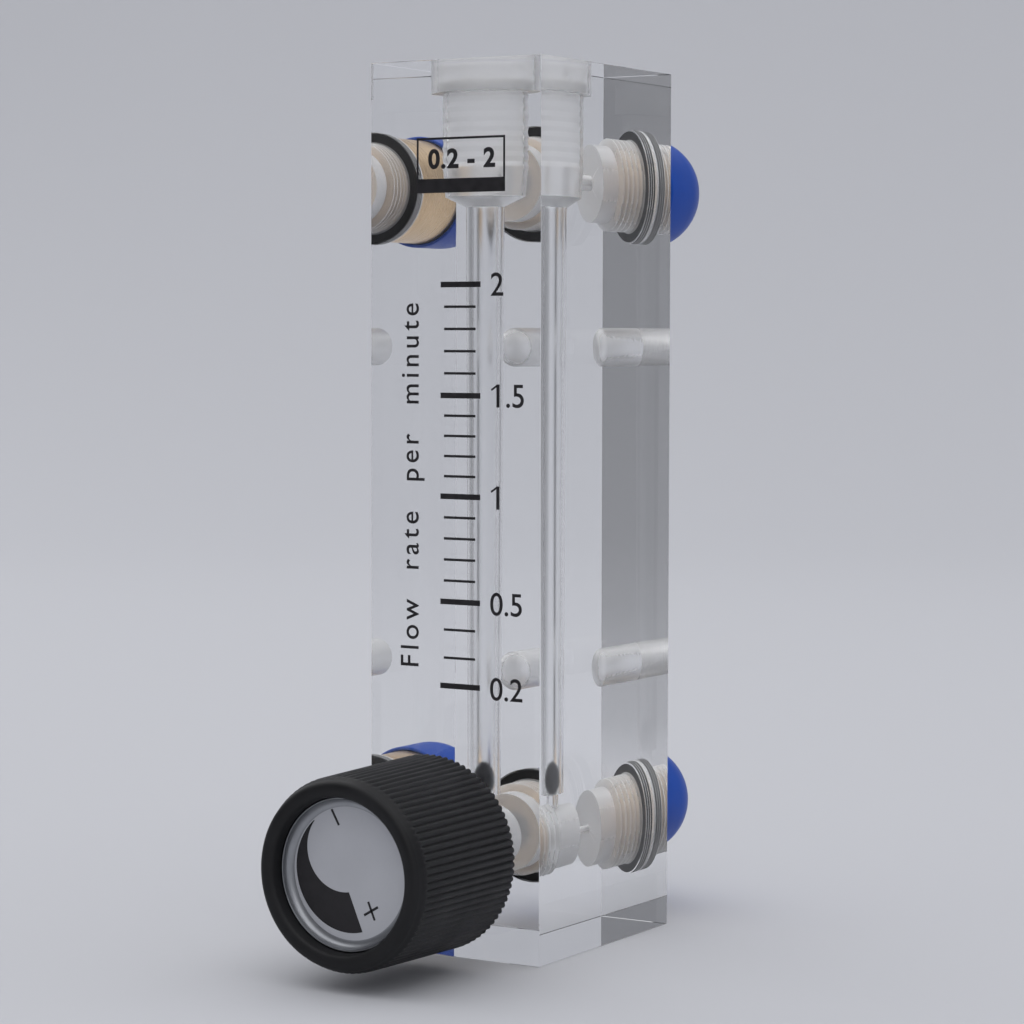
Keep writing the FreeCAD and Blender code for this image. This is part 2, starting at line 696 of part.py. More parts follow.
def make_knob_bush():
    """Brass bush in the knob, with a tapped cross hole."""
    body = new_body("knob_bush")
    turn(body, "bush_body", [
        (NUT_RECESS_END, "shaft_dia / 2 + bush_play"),
        (NUT_RECESS_END, BUSH_RADIUS),
        ("bush_depth - bush_play", BUSH_RADIUS),
        ("bush_depth - bush_play", "shaft_dia / 2 + bush_play"),
    ])
    cut_cross_hole(body, "bush_screw_hole", "screw_dia / 2 + fine_play")
    place_front(body, "knob_gap")
    return body


def make_knob_insert():
    """Dished silver plate in the knob's front."""
    body = new_body("knob_insert")
    edge = f"({DISH_RADIUS} - dish_play)"
    floor = f"{DISH_SEAT} + dish_floor"
    rim = f"{floor} + dish_cove + dish_lip"
    wall = f"({edge} - dish_edge)"
    turn(body, "insert_body", [
        (DISH_SEAT, "0"),
        (DISH_SEAT, edge),
        (rim, edge),
        (rim, wall),
        (f"{floor} + dish_cove", wall),
        (floor, f"{wall} - dish_cove"),
        (floor, "0"),
    ], centres={4: (f"{floor} + dish_cove", f"{wall} - dish_cove")})
    place_front(body, "knob_gap")
    return body


def make_knob_screw():
    """Set screw from the knob's underside, against the shaft."""
    body = new_body("knob_screw")
    turn(body, "screw_body", [
        ("0", "0"),
        ("0", "screw_dia / 2"),
        ("screw_length", "screw_dia / 2"),
        ("screw_length", "0"),
    ], upright=True)
    cut_hexagon(body, "screw_socket", "screw_hex", "screw_hex", "XY_Plane", z="screw_length")
    body.Placement = Placement(Vector(), Rotation(Vector(1, 0, 0), 180))
    bind(body, Placement__Base__y="0 - block_depth / 2 - knob_gap - screw_setback")
    bind(body, Placement__Base__z="port_height - shaft_dia / 2 - bush_play")
    return body


pieces = [
    make_body_block(),
    make_top_plug(),
    make_plug_seal(),
    make_float_ball(),
    make_fitting("inlet_fitting", "port_height"),
    make_fitting("outlet_fitting", OUTLET_HEIGHT),
    make_port_seal("inlet_seal", "port_height"),
    make_port_seal("outlet_seal", OUTLET_HEIGHT),
    make_cap("inlet_cap", "port_height", "inlet_cap_gap"),
    make_cap("outlet_cap", OUTLET_HEIGHT, "outlet_cap_gap"),
    make_valve_bushing(),
    make_bushing_seal(),
    make_valve_stem(),
    make_stem_seal(),
    make_gland_washer(),
    make_gland_nut(),
    make_knob(),
    make_knob_bush(),
    make_knob_insert(),
    make_knob_screw(),
]
doc.recompute()

for item in doc.Objects:
    if "Invalid" in item.State or "Error" in item.State:
        raise RuntimeError(item.Label + " failed to compute")
for piece in pieces:
    if piece.Shape.isNull() or not piece.Shape.isValid():
        raise RuntimeError(piece.Label + " has no valid solid")

os.makedirs("parts", exist_ok=True)
for piece in pieces:
    piece.Shape.exportStep(f"parts/{piece.Label}.step")
    print(f"{piece.Label}: {piece.Shape.Volume:.1f} mm3, {len(piece.Shape.Solids)} solid")
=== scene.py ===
import logging
import math
from dataclasses import dataclass, field
from enum import Enum
from typing import Iterable, Sequence

import bmesh
import bpy
from mathutils import Matrix, Vector


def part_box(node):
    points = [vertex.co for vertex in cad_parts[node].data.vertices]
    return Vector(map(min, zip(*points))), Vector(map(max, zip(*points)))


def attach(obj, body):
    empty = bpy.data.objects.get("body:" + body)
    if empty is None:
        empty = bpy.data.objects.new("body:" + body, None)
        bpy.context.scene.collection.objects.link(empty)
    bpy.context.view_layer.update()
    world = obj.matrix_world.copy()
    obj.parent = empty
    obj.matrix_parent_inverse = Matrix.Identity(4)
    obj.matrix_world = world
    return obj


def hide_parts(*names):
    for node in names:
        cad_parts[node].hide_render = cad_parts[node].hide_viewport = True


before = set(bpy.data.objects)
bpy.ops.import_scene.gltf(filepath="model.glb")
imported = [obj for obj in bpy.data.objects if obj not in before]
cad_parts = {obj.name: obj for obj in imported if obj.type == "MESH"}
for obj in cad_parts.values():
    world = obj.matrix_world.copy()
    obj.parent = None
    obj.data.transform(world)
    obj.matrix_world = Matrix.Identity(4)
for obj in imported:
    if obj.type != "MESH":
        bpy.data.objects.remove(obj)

# Looks of a panel flow meter round its CAD frame: clear block with its bores, fittings, caps,
# valve, ribbed knob and printed scale. Sizes are in millimetres and become metres in the meshes.
# Corners nearer than MERGE are one. CLOSE and FLAT are the room left when faces are told apart by
# place. Edges that turn by more than SHARP degrees shade sharp, and ROUND is the steps of a circle.

MM = 0.001
MERGE = 1e-4
CLOSE = 0.01
FLAT = 0.001
SHARP = 28.0
ROUND = 96
PATTERN_LOW = 0.35
PATTERN_HIGH = 0.65
LOG = logging.getLogger("flow_meter")
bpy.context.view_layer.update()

Point = tuple[float, float]
Triple = tuple[float, float, float]
Outline = Sequence[Point]


class Axis(Enum):
    """Directions that turned pieces stand along."""

    UP = (0.0, 0.0, 1.0)
    DOWN = (0.0, 0.0, -1.0)
    FRONT = (0.0, -1.0, 0.0)
    BACK = (0.0, 1.0, 0.0)


class Shaping(Enum):
    """What a tool piece does to the piece that it is combined with."""

    CUT = "DIFFERENCE"
    FUSE = "UNION"


# ---------------------------------------------------------------- finishes


class Shader:
    """A material with one Principled shader and short calls for the nodes that feed it."""

    def __init__(self, name: str) -> None:
        """Start a material.

        Args:
            name: the material's name.
        """
        self.material = bpy.data.materials.new(name)
        self.material.use_nodes = True
        self.nodes = self.material.node_tree.nodes
        self.links = self.material.node_tree.links
        self.main = self.nodes["Principled BSDF"]
        coordinates = self.nodes.new("ShaderNodeTexCoord")
        self.place = coordinates.outputs["Object"]

    def set(self, **values: float | Triple) -> None:
        """Set sockets of the Principled shader.

        Args:
            values: each socket's value, by its name with _ for a space. A colour is three numbers.
        """
        for name, value in values.items():
            socket = self.main.inputs[name.replace("_", " ")]
            socket.default_value = (*value, 1.0) if isinstance(value, tuple) else value

    def stretched(self, scale: Triple) -> bpy.types.NodeSocket:
        """Give the coordinates scaled along each axis.

        Args:
            scale: factors along x, y and z.

        Returns:
            The socket that holds the scaled coordinates.
        """
        mapping = self.nodes.new("ShaderNodeMapping")
        mapping.inputs["Scale"].default_value = scale
        self.links.new(self.place, mapping.inputs["Vector"])
        return mapping.outputs["Vector"]

    def noise(self, scale: float, detail: float, stretch: Triple | None = None) -> bpy.types.NodeSocket:
        """Add a noise pattern.

        Args:
            scale: cells in each metre.
            detail: how many finer layers it has.
            stretch: factors on the coordinates, for streaks.

        Returns:
            The socket of its value, from 0 to 1.
        """
        texture = self.nodes.new("ShaderNodeTexNoise")
        texture.inputs["Scale"].default_value = scale
        texture.inputs["Detail"].default_value = detail
        source = self.stretched(stretch) if stretch else self.place
        self.links.new(source, texture.inputs["Vector"])
        return texture.outputs["Fac"]

    def tinted(self, source: bpy.types.NodeSocket, first: Triple, second: Triple) -> None:
        """Mix two colours by a pattern's middle range into the base colour.

        Args:
            source: the pattern's socket.
            first: colour where the pattern is low.
            second: colour where it is high.
        """
        ramp = self.nodes.new("ShaderNodeValToRGB")
        ends = ((PATTERN_LOW, first), (PATTERN_HIGH, second))
        for element, (position, colour) in zip(ramp.color_ramp.elements, ends):
            element.position = position
            element.color = (*colour, 1.0)
        self.links.new(source, ramp.inputs["Fac"])
        self.links.new(ramp.outputs["Color"], self.main.inputs["Base Color"])

    def rough(self, source: bpy.types.NodeSocket, low: float, high: float) -> None:
        """Let a pattern's middle range vary the roughness.

        Args:
            source: the pattern's socket.
            low: roughness where the pattern is low.
            high: roughness where it is high.
        """
        ramp = self.nodes.new("ShaderNodeMapRange")
        ends = (("From Min", PATTERN_LOW), ("From Max", PATTERN_HIGH), ("To Min", low), ("To Max", high))
        for name, value in ends:
            ramp.inputs[name].default_value = value
        self.links.new(source, ramp.inputs["Value"])
        self.links.new(ramp.outputs["Result"], self.main.inputs["Roughness"])

    def bumped(self, source: bpy.types.NodeSocket, depth: float) -> None:
        """Raise a pattern, on top of any bump before it.

        Args:
            source: the pattern's socket.
            depth: how far its peaks rise, in millimetres.
        """
        bump = self.nodes.new("ShaderNodeBump")
        bump.inputs["Distance"].default_value = depth * MM
        self.links.new(source, bump.inputs["Height"])
        normal = self.main.inputs["Normal"]
        if normal.is_linked:
            self.links.new(normal.links[0].from_socket, bump.inputs["Normal"])
        self.links.new(bump.outputs["Normal"], normal)


@dataclass(frozen=True)
class Finish:
    """A named finish, which its kinds paint in their own way."""

    name: str

    def material(self) -> bpy.types.Material:
        """Make the material.

        Returns:
            The new material.
        """
        shader = Shader(self.name)
        self.paint(shader)
        return shader.material

    def paint(self, shader: Shader) -> None:
        """Set the shader and the patterns that feed it."""
        raise NotImplementedError


@dataclass(frozen=True)
class Acrylic(Finish):
    """Clear cast acrylic. Its grain is (cells in each metre, finer layers)."""

    tint: Triple = (0.985, 0.99, 0.995)
    clarity: float = 1.0
    roughness: float = 0.0
    index: float = 1.49
    grain: Point | None = None
    depth: float = 0.0
    stretch: Triple | None = None

    def paint(self, shader: Shader) -> None:
        """Set a clear shader, with the grain that a tool has left.

        Args:
            shader: the material's shader.
        """
        shader.set(Base_Color=self.tint, IOR=self.index, Transmission_Weight=self.clarity,
                   Roughness=self.roughness)
        if self.grain:
            shader.bumped(shader.noise(*self.grain, self.stretch), self.depth)


@dataclass(frozen=True)
class MilkyPlastic(Acrylic):
    """Translucent whitish plastic of the plug and its ring."""

    roughness: float = 0.5
    grain: Point | None = (1300.0, 4.0)
    depth: float = 0.02


class Surface(Enum):
    """Ways in which the clear block's faces were left, with the finish of each."""

    POLISHED = Acrylic("acrylic_polished")
    REAMED = Acrylic("acrylic_reamed", roughness=0.28, grain=(900.0, 2.0), depth=0.004,
                     stretch=(1.0, 1.0, 0.02))
    TAPPED = Acrylic("acrylic_tapped", (0.98, 0.98, 0.985), 0.68, 0.5, grain=(1500.0, 3.0), depth=0.03)
    DRILLED = Acrylic("acrylic_drilled", (0.95, 0.95, 0.96), 0.55, 0.55, grain=(1200.0, 4.0), depth=0.02)
    FROSTED = Acrylic("acrylic_frosted", (0.985, 0.985, 0.99), 0.85, 0.5, grain=(1600.0, 5.0), depth=0.04)
    CEMENTED = Acrylic("acrylic_cemented", (0.98, 0.98, 0.985), 0.76, 0.4, 1.12, (1500.0, 3.0), 0.02)
    # Black finish: the rubber seen where the rings touch the block, and also painted shade of the rings' dark
    # recesses.
    SQUEEZED_AND_SHADED = Acrylic("acrylic_squeezed_and_painted_shade", (0.006, 0.006, 0.007), 0.0, 0.5, grain=(2500.0, 3.0), depth=0.01)


@dataclass(frozen=True)
class TurnedMetal(Finish):
    """Metal turned on a lathe, with fine rings round its axis."""

    light: Triple
    dark: Triple
    low: float = 0.22
    high: float = 0.38
    cloud: Point = (260.0, 5.0)
    rings: Point = (9000.0, 2.0)
    stretch: Triple = (0.02, 1.0, 0.02)
    depth: float = 0.006

    def paint(self, shader: Shader) -> None:
        """Cloud the colour, and ring the roughness and the bump.

        Args:
            shader: the material's shader.
        """
        shader.set(Metallic=1.0)
        rings = shader.noise(*self.rings, self.stretch)
        shader.tinted(shader.noise(*self.cloud), self.dark, self.light)
        shader.rough(rings, self.low, self.high)
        shader.bumped(rings, self.depth)


class Metal(Enum):
    """Turned metals of the meter."""

    BRASS = TurnedMetal("brass", (0.76, 0.56, 0.35), (0.67, 0.49, 0.30))
    STEM_STEEL = TurnedMetal("stem_steel", (0.62, 0.61, 0.6), (0.52, 0.51, 0.5))
    # Darker metal of the plate's cove: painted shade of the concave cove.
    DISH_COVE_SHADE = TurnedMetal("dish_cove", (0.36, 0.37, 0.39), (0.3, 0.31, 0.33), 0.34, 0.42)


@dataclass(frozen=True)
class Clouded(Finish):
    """Finish whose colour and gloss vary with one pattern, over a finer grain.

    The pattern and the grain are (cells in each metre, finer layers), and gloss is the roughness
    where the pattern is low and where it is high.
    """

    dark: Triple
    light: Triple
    gloss: Point
    pattern: Point
    grain: Point | None = None
    depth: float = 0.0
    specular: float = 0.5
    coat: float = 0.0
    coat_roughness: float = 0.03

    def paint(self, shader: Shader) -> None:
        """Cloud the colour and the gloss, and raise the grain.

        Args:
            shader: the material's shader.
        """
        cloud = shader.noise(*self.pattern)
        shader.tinted(cloud, self.dark, self.light)
        shader.set(Specular_IOR_Level=self.specular, Coat_Weight=self.coat,
                   Coat_Roughness=self.coat_roughness)
        shader.rough(cloud, *self.gloss)
        if self.grain:
            shader.bumped(shader.noise(*self.grain), self.depth)


@dataclass(frozen=True)
class Rubber(Clouded):
    """Black rubber with a faint bloom."""

    name: str = "ring_rubber"
    dark: Triple = (0.004, 0.004, 0.0045)
    light: Triple = (0.01, 0.01, 0.0105)
    gloss: Point = (0.38, 0.55)
    pattern: Point = (420.0, 6.0)
    grain: Point | None = (4000.0, 3.0)
    depth: float = 0.008
    specular: float = 0.3


@dataclass(frozen=True)
class SoftVinyl(Clouded):
    """Blue dip-moulded vinyl under a thin gloss."""

    name: str = "cap_vinyl"
    dark: Triple = (0.008, 0.06, 0.36)
    light: Triple = (0.011, 0.072, 0.41)
    gloss: Point = (0.34, 0.44)
    pattern: Point = (150.0, 3.0)
    grain: Point | None = (500.0, 2.0)
    depth: float = 0.02
    specular: float = 0.16
    coat: float = 0.04
    coat_roughness: float = 0.2


@dataclass(frozen=True)
class KnobPlastic(Clouded):
    """Black moulded plastic, fine grained, worn a little brighter in patches."""

    name: str = "knob_plastic"
    dark: Triple = (0.006, 0.006, 0.007)
    light: Triple = (0.012, 0.012, 0.0135)
    gloss: Point = (0.46, 0.6)
    pattern: Point = (180.0, 6.0)
    grain: Point | None = (5200.0, 3.0)
    depth: float = 0.012
    specular: float = 0.3


@dataclass(frozen=True)
class Ink(Clouded):
    """Screen-printed black ink with slightly uneven cover."""

    name: str = "print_ink"
    dark: Triple = (0.006, 0.005, 0.007)
    light: Triple = (0.016, 0.014, 0.017)
    gloss: Point = (0.4, 0.6)
    pattern: Point = (900.0, 5.0)


@dataclass(frozen=True)
class DarkGlass(Clouded):
    """Polished black glass of the ball."""

    name: str = "ball_glass"
    dark: Triple = (0.012, 0.0125, 0.017)
    light: Triple = (0.02, 0.021, 0.027)
    gloss: Point = (0.12, 0.2)
    pattern: Point = (700.0, 3.0)


@dataclass(frozen=True)
class SatinPlate(Finish):
    """Satin silver of the knob's dished plate."""

    name: str = "dish_satin"
    dark: Triple = (0.53, 0.54, 0.575)
    light: Triple = (0.58, 0.59, 0.625)
    gloss: Point = (0.42, 0.5)
    metal: float = 0.35
    cloud: Point = (90.0, 3.0)
    satin: Point = (2500.0, 3.0)
    grain: Point = (7000.0, 2.0)
    depth: float = 0.003

    def paint(self, shader: Shader) -> None:
        """Cloud the silver, over a satin grain.

        Args:
            shader: the material's shader.
        """
        shader.tinted(shader.noise(*self.cloud), self.dark, self.light)
        shader.set(Metallic=self.metal)
        shader.rough(shader.noise(*self.satin), *self.gloss)
        shader.bumped(shader.noise(*self.grain), self.depth)


@dataclass(frozen=True)
class PlainPlastic(Finish):
    """Plain moulded or blackened surface with a fine grain."""

    colour: Triple
    roughness: float
    shade: float = 0.85
    spread: float = 0.05
    grain: Point = (2400.0, 4.0)
    depth: float = 0.006

    def paint(self, shader: Shader) -> None:
        """Let the grain vary the colour and the gloss.

        Args:
            shader: the material's shader.
        """
        grain = shader.noise(*self.grain)
        darker = tuple(self.shade * part for part in self.colour)
        shader.tinted(grain, darker, self.colour)
        shader.rough(grain, self.roughness - self.spread, self.roughness + self.spread)
        shader.bumped(grain, self.depth)


@dataclass(frozen=True)
class PalePaper(Finish):
    """Matt paper of the backdrop, with painted shade: darker away from the object in front to the left.

    Its painted shades are (metres along the run, share of the colour), and reach is the last place they go
    to.
    """

    name: str = "pale_paper_painted_shade"
    colour: Triple = (0.575, 0.58, 0.61)
    roughness: float = 0.9
    specular: float = 0.1
    run: Triple = (-0.522, -0.853, 0.0)
    reach: float = 1.5
    painted_shades: tuple[Point, ...] = ((0.08, 1.0), (0.2, 0.64), (0.46, 0.49), (1.2, 0.43))

    def paint(self, shader: Shader) -> None:
        """Paint shade into the paper's colour by its place.

        Args:
            shader: the material's shader.
        """
        shader.set(Roughness=self.roughness, Specular_IOR_Level=self.specular)
        along = shader.nodes.new("ShaderNodeVectorMath")
        along.operation = "DOT_PRODUCT"
        along.inputs[1].default_value = self.run
        shader.links.new(shader.place, along.inputs[0])
        # The ramp darkens the paper's colour as painted shade.
        ramp = shader.nodes.new("ShaderNodeValToRGB")
        elements = ramp.color_ramp.elements
        while len(elements) < len(self.painted_shades):
            elements.new(0.5)
        for element, (place, shade) in zip(elements, self.painted_shades):
            element.position = place / self.reach
            element.color = (*(shade * part for part in self.colour), 1.0)
        scaled = shader.nodes.new("ShaderNodeMath")
        scaled.operation = "DIVIDE"
        scaled.inputs[1].default_value = self.reach
        shader.links.new(along.outputs["Value"], scaled.inputs[0])
        shader.links.new(scaled.outputs["Value"], ramp.inputs["Fac"])
        shader.links.new(ramp.outputs["Color"], shader.main.inputs["Base Color"])


# ---------------------------------------------------------------- mesh tools


def facing(axis: Axis, place: Vector) -> Matrix:
    """Give the transform that stands a piece's Z along an axis, from a place in millimetres."""
    turn = Vector((0.0, 0.0, 1.0)).rotation_difference(Vector(axis.value)).to_matrix().to_4x4()
    return Matrix.Translation(place * MM) @ turn


def arc(middle: Point, radius: float, start: float, end: float, steps: int) -> list[Point]:
    """Give points on an arc of an outline.

    Args:
        middle: centre as (along, out).
        radius: radius of the arc.
        start: first angle in degrees, from the along axis towards out.
        end: last angle in degrees.
        steps: stretches between the points.

    Returns:
        The points, both ends included.
    """
    points = []
    for step in range(steps + 1):
        angle = math.radians(start + (end - start) * step / steps)
        points.append((middle[0] + radius * math.cos(angle), middle[1] + radius * math.sin(angle)))
    return points


def thread(start: float, turns: int, pitch: float, crest: float, root: float) -> list[Point]:
    """Give the outline of a screw thread as rings.

    Args:
        start: where the first ring begins, along the axis.
        turns: number of rings.
        pitch: length of a ring, negative to run backwards.
        crest: radius between the grooves of a hole.
        root: radius at the bottom of the grooves of a hole.

    Returns:
        The points, from start on.
    """
    form = ((0.08, crest), (0.42, root), (0.58, root), (0.92, crest))
    return [(start + turn * pitch + share * pitch, out) for turn in range(turns) for share, out in form]


def finish_mesh(name: str, bm: bmesh.types.BMesh, place: Matrix, sharp: float = SHARP) -> bpy.types.Object:
    """Turn a bmesh into an object whose place is in its mesh.

    Args:
        name: the piece's name.
        bm: the shape, in millimetres. It is freed.
        place: transform into the frame, in metres.
        sharp: angle in degrees over which an edge shades sharp.

    Returns:
        The new object, linked to the scene.
    """
    bmesh.ops.remove_doubles(bm, verts=bm.verts, dist=MERGE)
    bmesh.ops.recalc_face_normals(bm, faces=bm.faces)
    for face in bm.faces:
        face.smooth = True
    bmesh.ops.transform(bm, matrix=place @ Matrix.Scale(MM, 4), verts=bm.verts)
    mesh = bpy.data.meshes.new(name)
    bm.to_mesh(mesh)
    bm.free()
    mesh.set_sharp_from_angle(angle=math.radians(sharp))
    piece = bpy.data.objects.new(name, mesh)
    bpy.context.scene.collection.objects.link(piece)
    return piece


def spun(outline: Outline, steps: int = ROUND, closed: bool = False) -> bmesh.types.BMesh:
    """Spin an outline of (along, out) points round Z.

    Args:
        outline: the points, in order.
        steps: stretches round the circle.
        closed: join the last point to the first, as on a ring or a tube.

    Returns:
        The spun shape, with its seam and poles closed.
    """
    bm = bmesh.new()
    verts = [bm.verts.new((out, 0.0, along)) for along, out in outline]
    pairs = list(zip(verts, verts[1:]))
    if closed:
        pairs.append((verts[-1], verts[0]))
    edges = [bm.edges.new(pair) for pair in pairs]
    bmesh.ops.spin(bm, geom=verts + edges, cent=(0, 0, 0), axis=(0, 0, 1), dvec=(0, 0, 0),
                   angle=math.tau, steps=steps, use_merge=True, use_duplicate=False)
    bmesh.ops.remove_doubles(bm, verts=bm.verts, dist=MERGE)
    return bm


def soften(bm: bmesh.types.BMesh, width: float, segments: int, angle: float = 40.0) -> None:
    """Round the sharp edges of a shape.

    Args:
        bm: the shape.
        width: how far the rounding reaches from an edge.
        segments: steps across the rounding.
        angle: least turn of an edge that is rounded, in degrees.
    """
    edges = [edge for edge in bm.edges
             if len(edge.link_faces) == 2 and edge.calc_face_angle(0.0) > math.radians(angle)]
    bmesh.ops.bevel(bm, geom=edges, offset=width, offset_type="OFFSET", segments=segments,
                    profile=0.5, affect="EDGES", clamp_overlap=True, material=-1)


def turned(name: str, outline: Outline, place: Matrix, steps: int = ROUND,
           closed: bool = False) -> bpy.types.Object:
    """Make a turned piece.

    Args:
        name: the piece's name.
        outline: its half outline as (along, out) points.
        place: transform into the frame.
        steps: stretches round the circle.
        closed: the outline is a ring's section.

    Returns:
        The piece.
    """
    return finish_mesh(name, spun(outline, steps, closed), place)


def raised(bm: bmesh.types.BMesh, faces: Iterable[bmesh.types.BMFace], rise: float) -> None:
    """Extrude flat faces along Z.

    Args:
        bm: the shape that holds them.
        faces: the faces.
        rise: how far they go.
    """
    grown = bmesh.ops.extrude_face_region(bm, geom=list(faces))["geom"]
    tops = [item for item in grown if isinstance(item, bmesh.types.BMVert)]
    bmesh.ops.translate(bm, verts=tops, vec=(0.0, 0.0, rise))


def hexagon(name: str, across: float, start: float, end: float, place: Matrix,
            edge: float = 0.0) -> bpy.types.Object:
    """Make a hexagon bar, with flats to the left and right.

    Args:
        name: the piece's name.
        across: width over its flats.
        start: where it starts along its axis.
        end: where it ends.
        place: transform into the frame.
        edge: width of its rounded edges, 0 for none.

    Returns:
        The piece.
    """
    bm = bmesh.new()
    ring = bmesh.ops.create_circle(bm, cap_ends=True, radius=across / math.sqrt(3.0), segments=6,
                                   matrix=Matrix.Translation((0.0, 0.0, start)))
    bmesh.ops.rotate(bm, verts=ring["verts"], cent=(0, 0, 0), matrix=Matrix.Rotation(math.pi / 6.0, 3, "Z"))
    raised(bm, bm.faces, end - start)
    bmesh.ops.recalc_face_normals(bm, faces=bm.faces)
    if edge:
        soften(bm, edge, 2)
    return finish_mesh(name, bm, place)


def combined(base: bpy.types.Object, tool: bpy.types.Object, shaping: Shaping) -> None:
    """Cut or fuse a piece by a tool, whose faces keep their material.

    Args:
        base: the piece.
        tool: the solid that shapes it. It is used up.
        shaping: what the tool does.
    """
    modifier = base.modifiers.new("shape", "BOOLEAN")
    modifier.operation = shaping.value
    modifier.solver = "EXACT"
    modifier.material_mode = "TRANSFER"
    modifier.object = tool
    graph = bpy.context.evaluated_depsgraph_get()
    mesh = bpy.data.meshes.new_from_object(base.evaluated_get(graph))
    base.modifiers.clear()
    old = base.data
    base.data = mesh
    mesh.name = base.name
    bpy.data.meshes.remove(old)
    spent = tool.data
    bpy.data.objects.remove(tool)
    bpy.data.meshes.remove(spent)


def reshade(piece: bpy.types.Object, sharp: float = SHARP) -> None:
    """Shade a cut piece smooth, but for edges over an angle in degrees."""
    piece.data.shade_smooth()
    piece.data.set_sharp_from_angle(angle=math.radians(sharp))


def dress(piece: bpy.types.Object, material: bpy.types.Material) -> bpy.types.Object:
    """Give a piece its one material.

    Args:
        piece: the piece.
        material: its finish.

    Returns:
        The same piece.
    """
    piece.data.materials.clear()
    piece.data.materials.append(material)
    return piece


def settle(piece: bpy.types.Object, body: str, slot: str, *nodes: str) -> None:
    """Let a piece ride on a body and stand for CAD nodes.

    Args:
        piece: the piece.
        body: the body that carries it.
        slot: the record's material slot; not used.
        nodes: CAD nodes that it stands for.
    """
    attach(piece, body)
    if nodes:
        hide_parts(*nodes)
    LOG.info("%s rides on %s, %d faces", piece.name, body, len(piece.data.polygons))


# ---------------------------------------------------------------- the frame's places


def node_box(node: str) -> tuple[Vector, Vector]:
    """Give a CAD node's middle and its size, in millimetres."""
    lowest, highest = (Vector(corner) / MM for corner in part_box(node))
    return (lowest + highest) / 2.0, highest - lowest


def outs(mesh: bpy.types.Mesh, face: bpy.types.MeshPolygon, height: float) -> list[float]:
    """Give how far a face's corners lie from an axis along Y at a height, in millimetres."""
    corners = [mesh.vertices[index].co / MM for index in face.vertices]
    return [math.hypot(corner.x, corner.z - height) for corner in corners]


@dataclass(frozen=True)
class Places:
    """Where the block's faces and the axes lie, in millimetres, from the CAD boxes."""

    front: float
    back: float
    side: float
    top: float
    bore: float
    low: float
    high: float

    @staticmethod
    def measured() -> "Places":
        """Read them from the frame.

        Returns:
            The places.
        """
        lowest, highest = (Vector(corner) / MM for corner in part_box("body_block"))
        ball, inlet, outlet = (sum((Vector(corner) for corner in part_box(node)), Vector()) / 2.0 / MM
                               for node in ("float_ball", "inlet_seal", "outlet_seal"))
        return Places(lowest.y, highest.y, highest.x, highest.z, ball.y, inlet.z, outlet.z)


@dataclass(frozen=True)
class Threads:
    """Screw threads that holes and the pieces in them share: radii, pitch and the gap between."""

    pitch: float = 1.25
    port_crest: float = 5.35
    port_root: float = 6.0
    port_turns: int = 5
    valve_crest: float = 3.9
    valve_root: float = 4.5
    valve_turns: int = 5
    plug_crest: float = 5.83
    plug_root: float = 5.95
    plug_turns: int = 8
    gap: float = 0.08


# ---------------------------------------------------------------- clear block


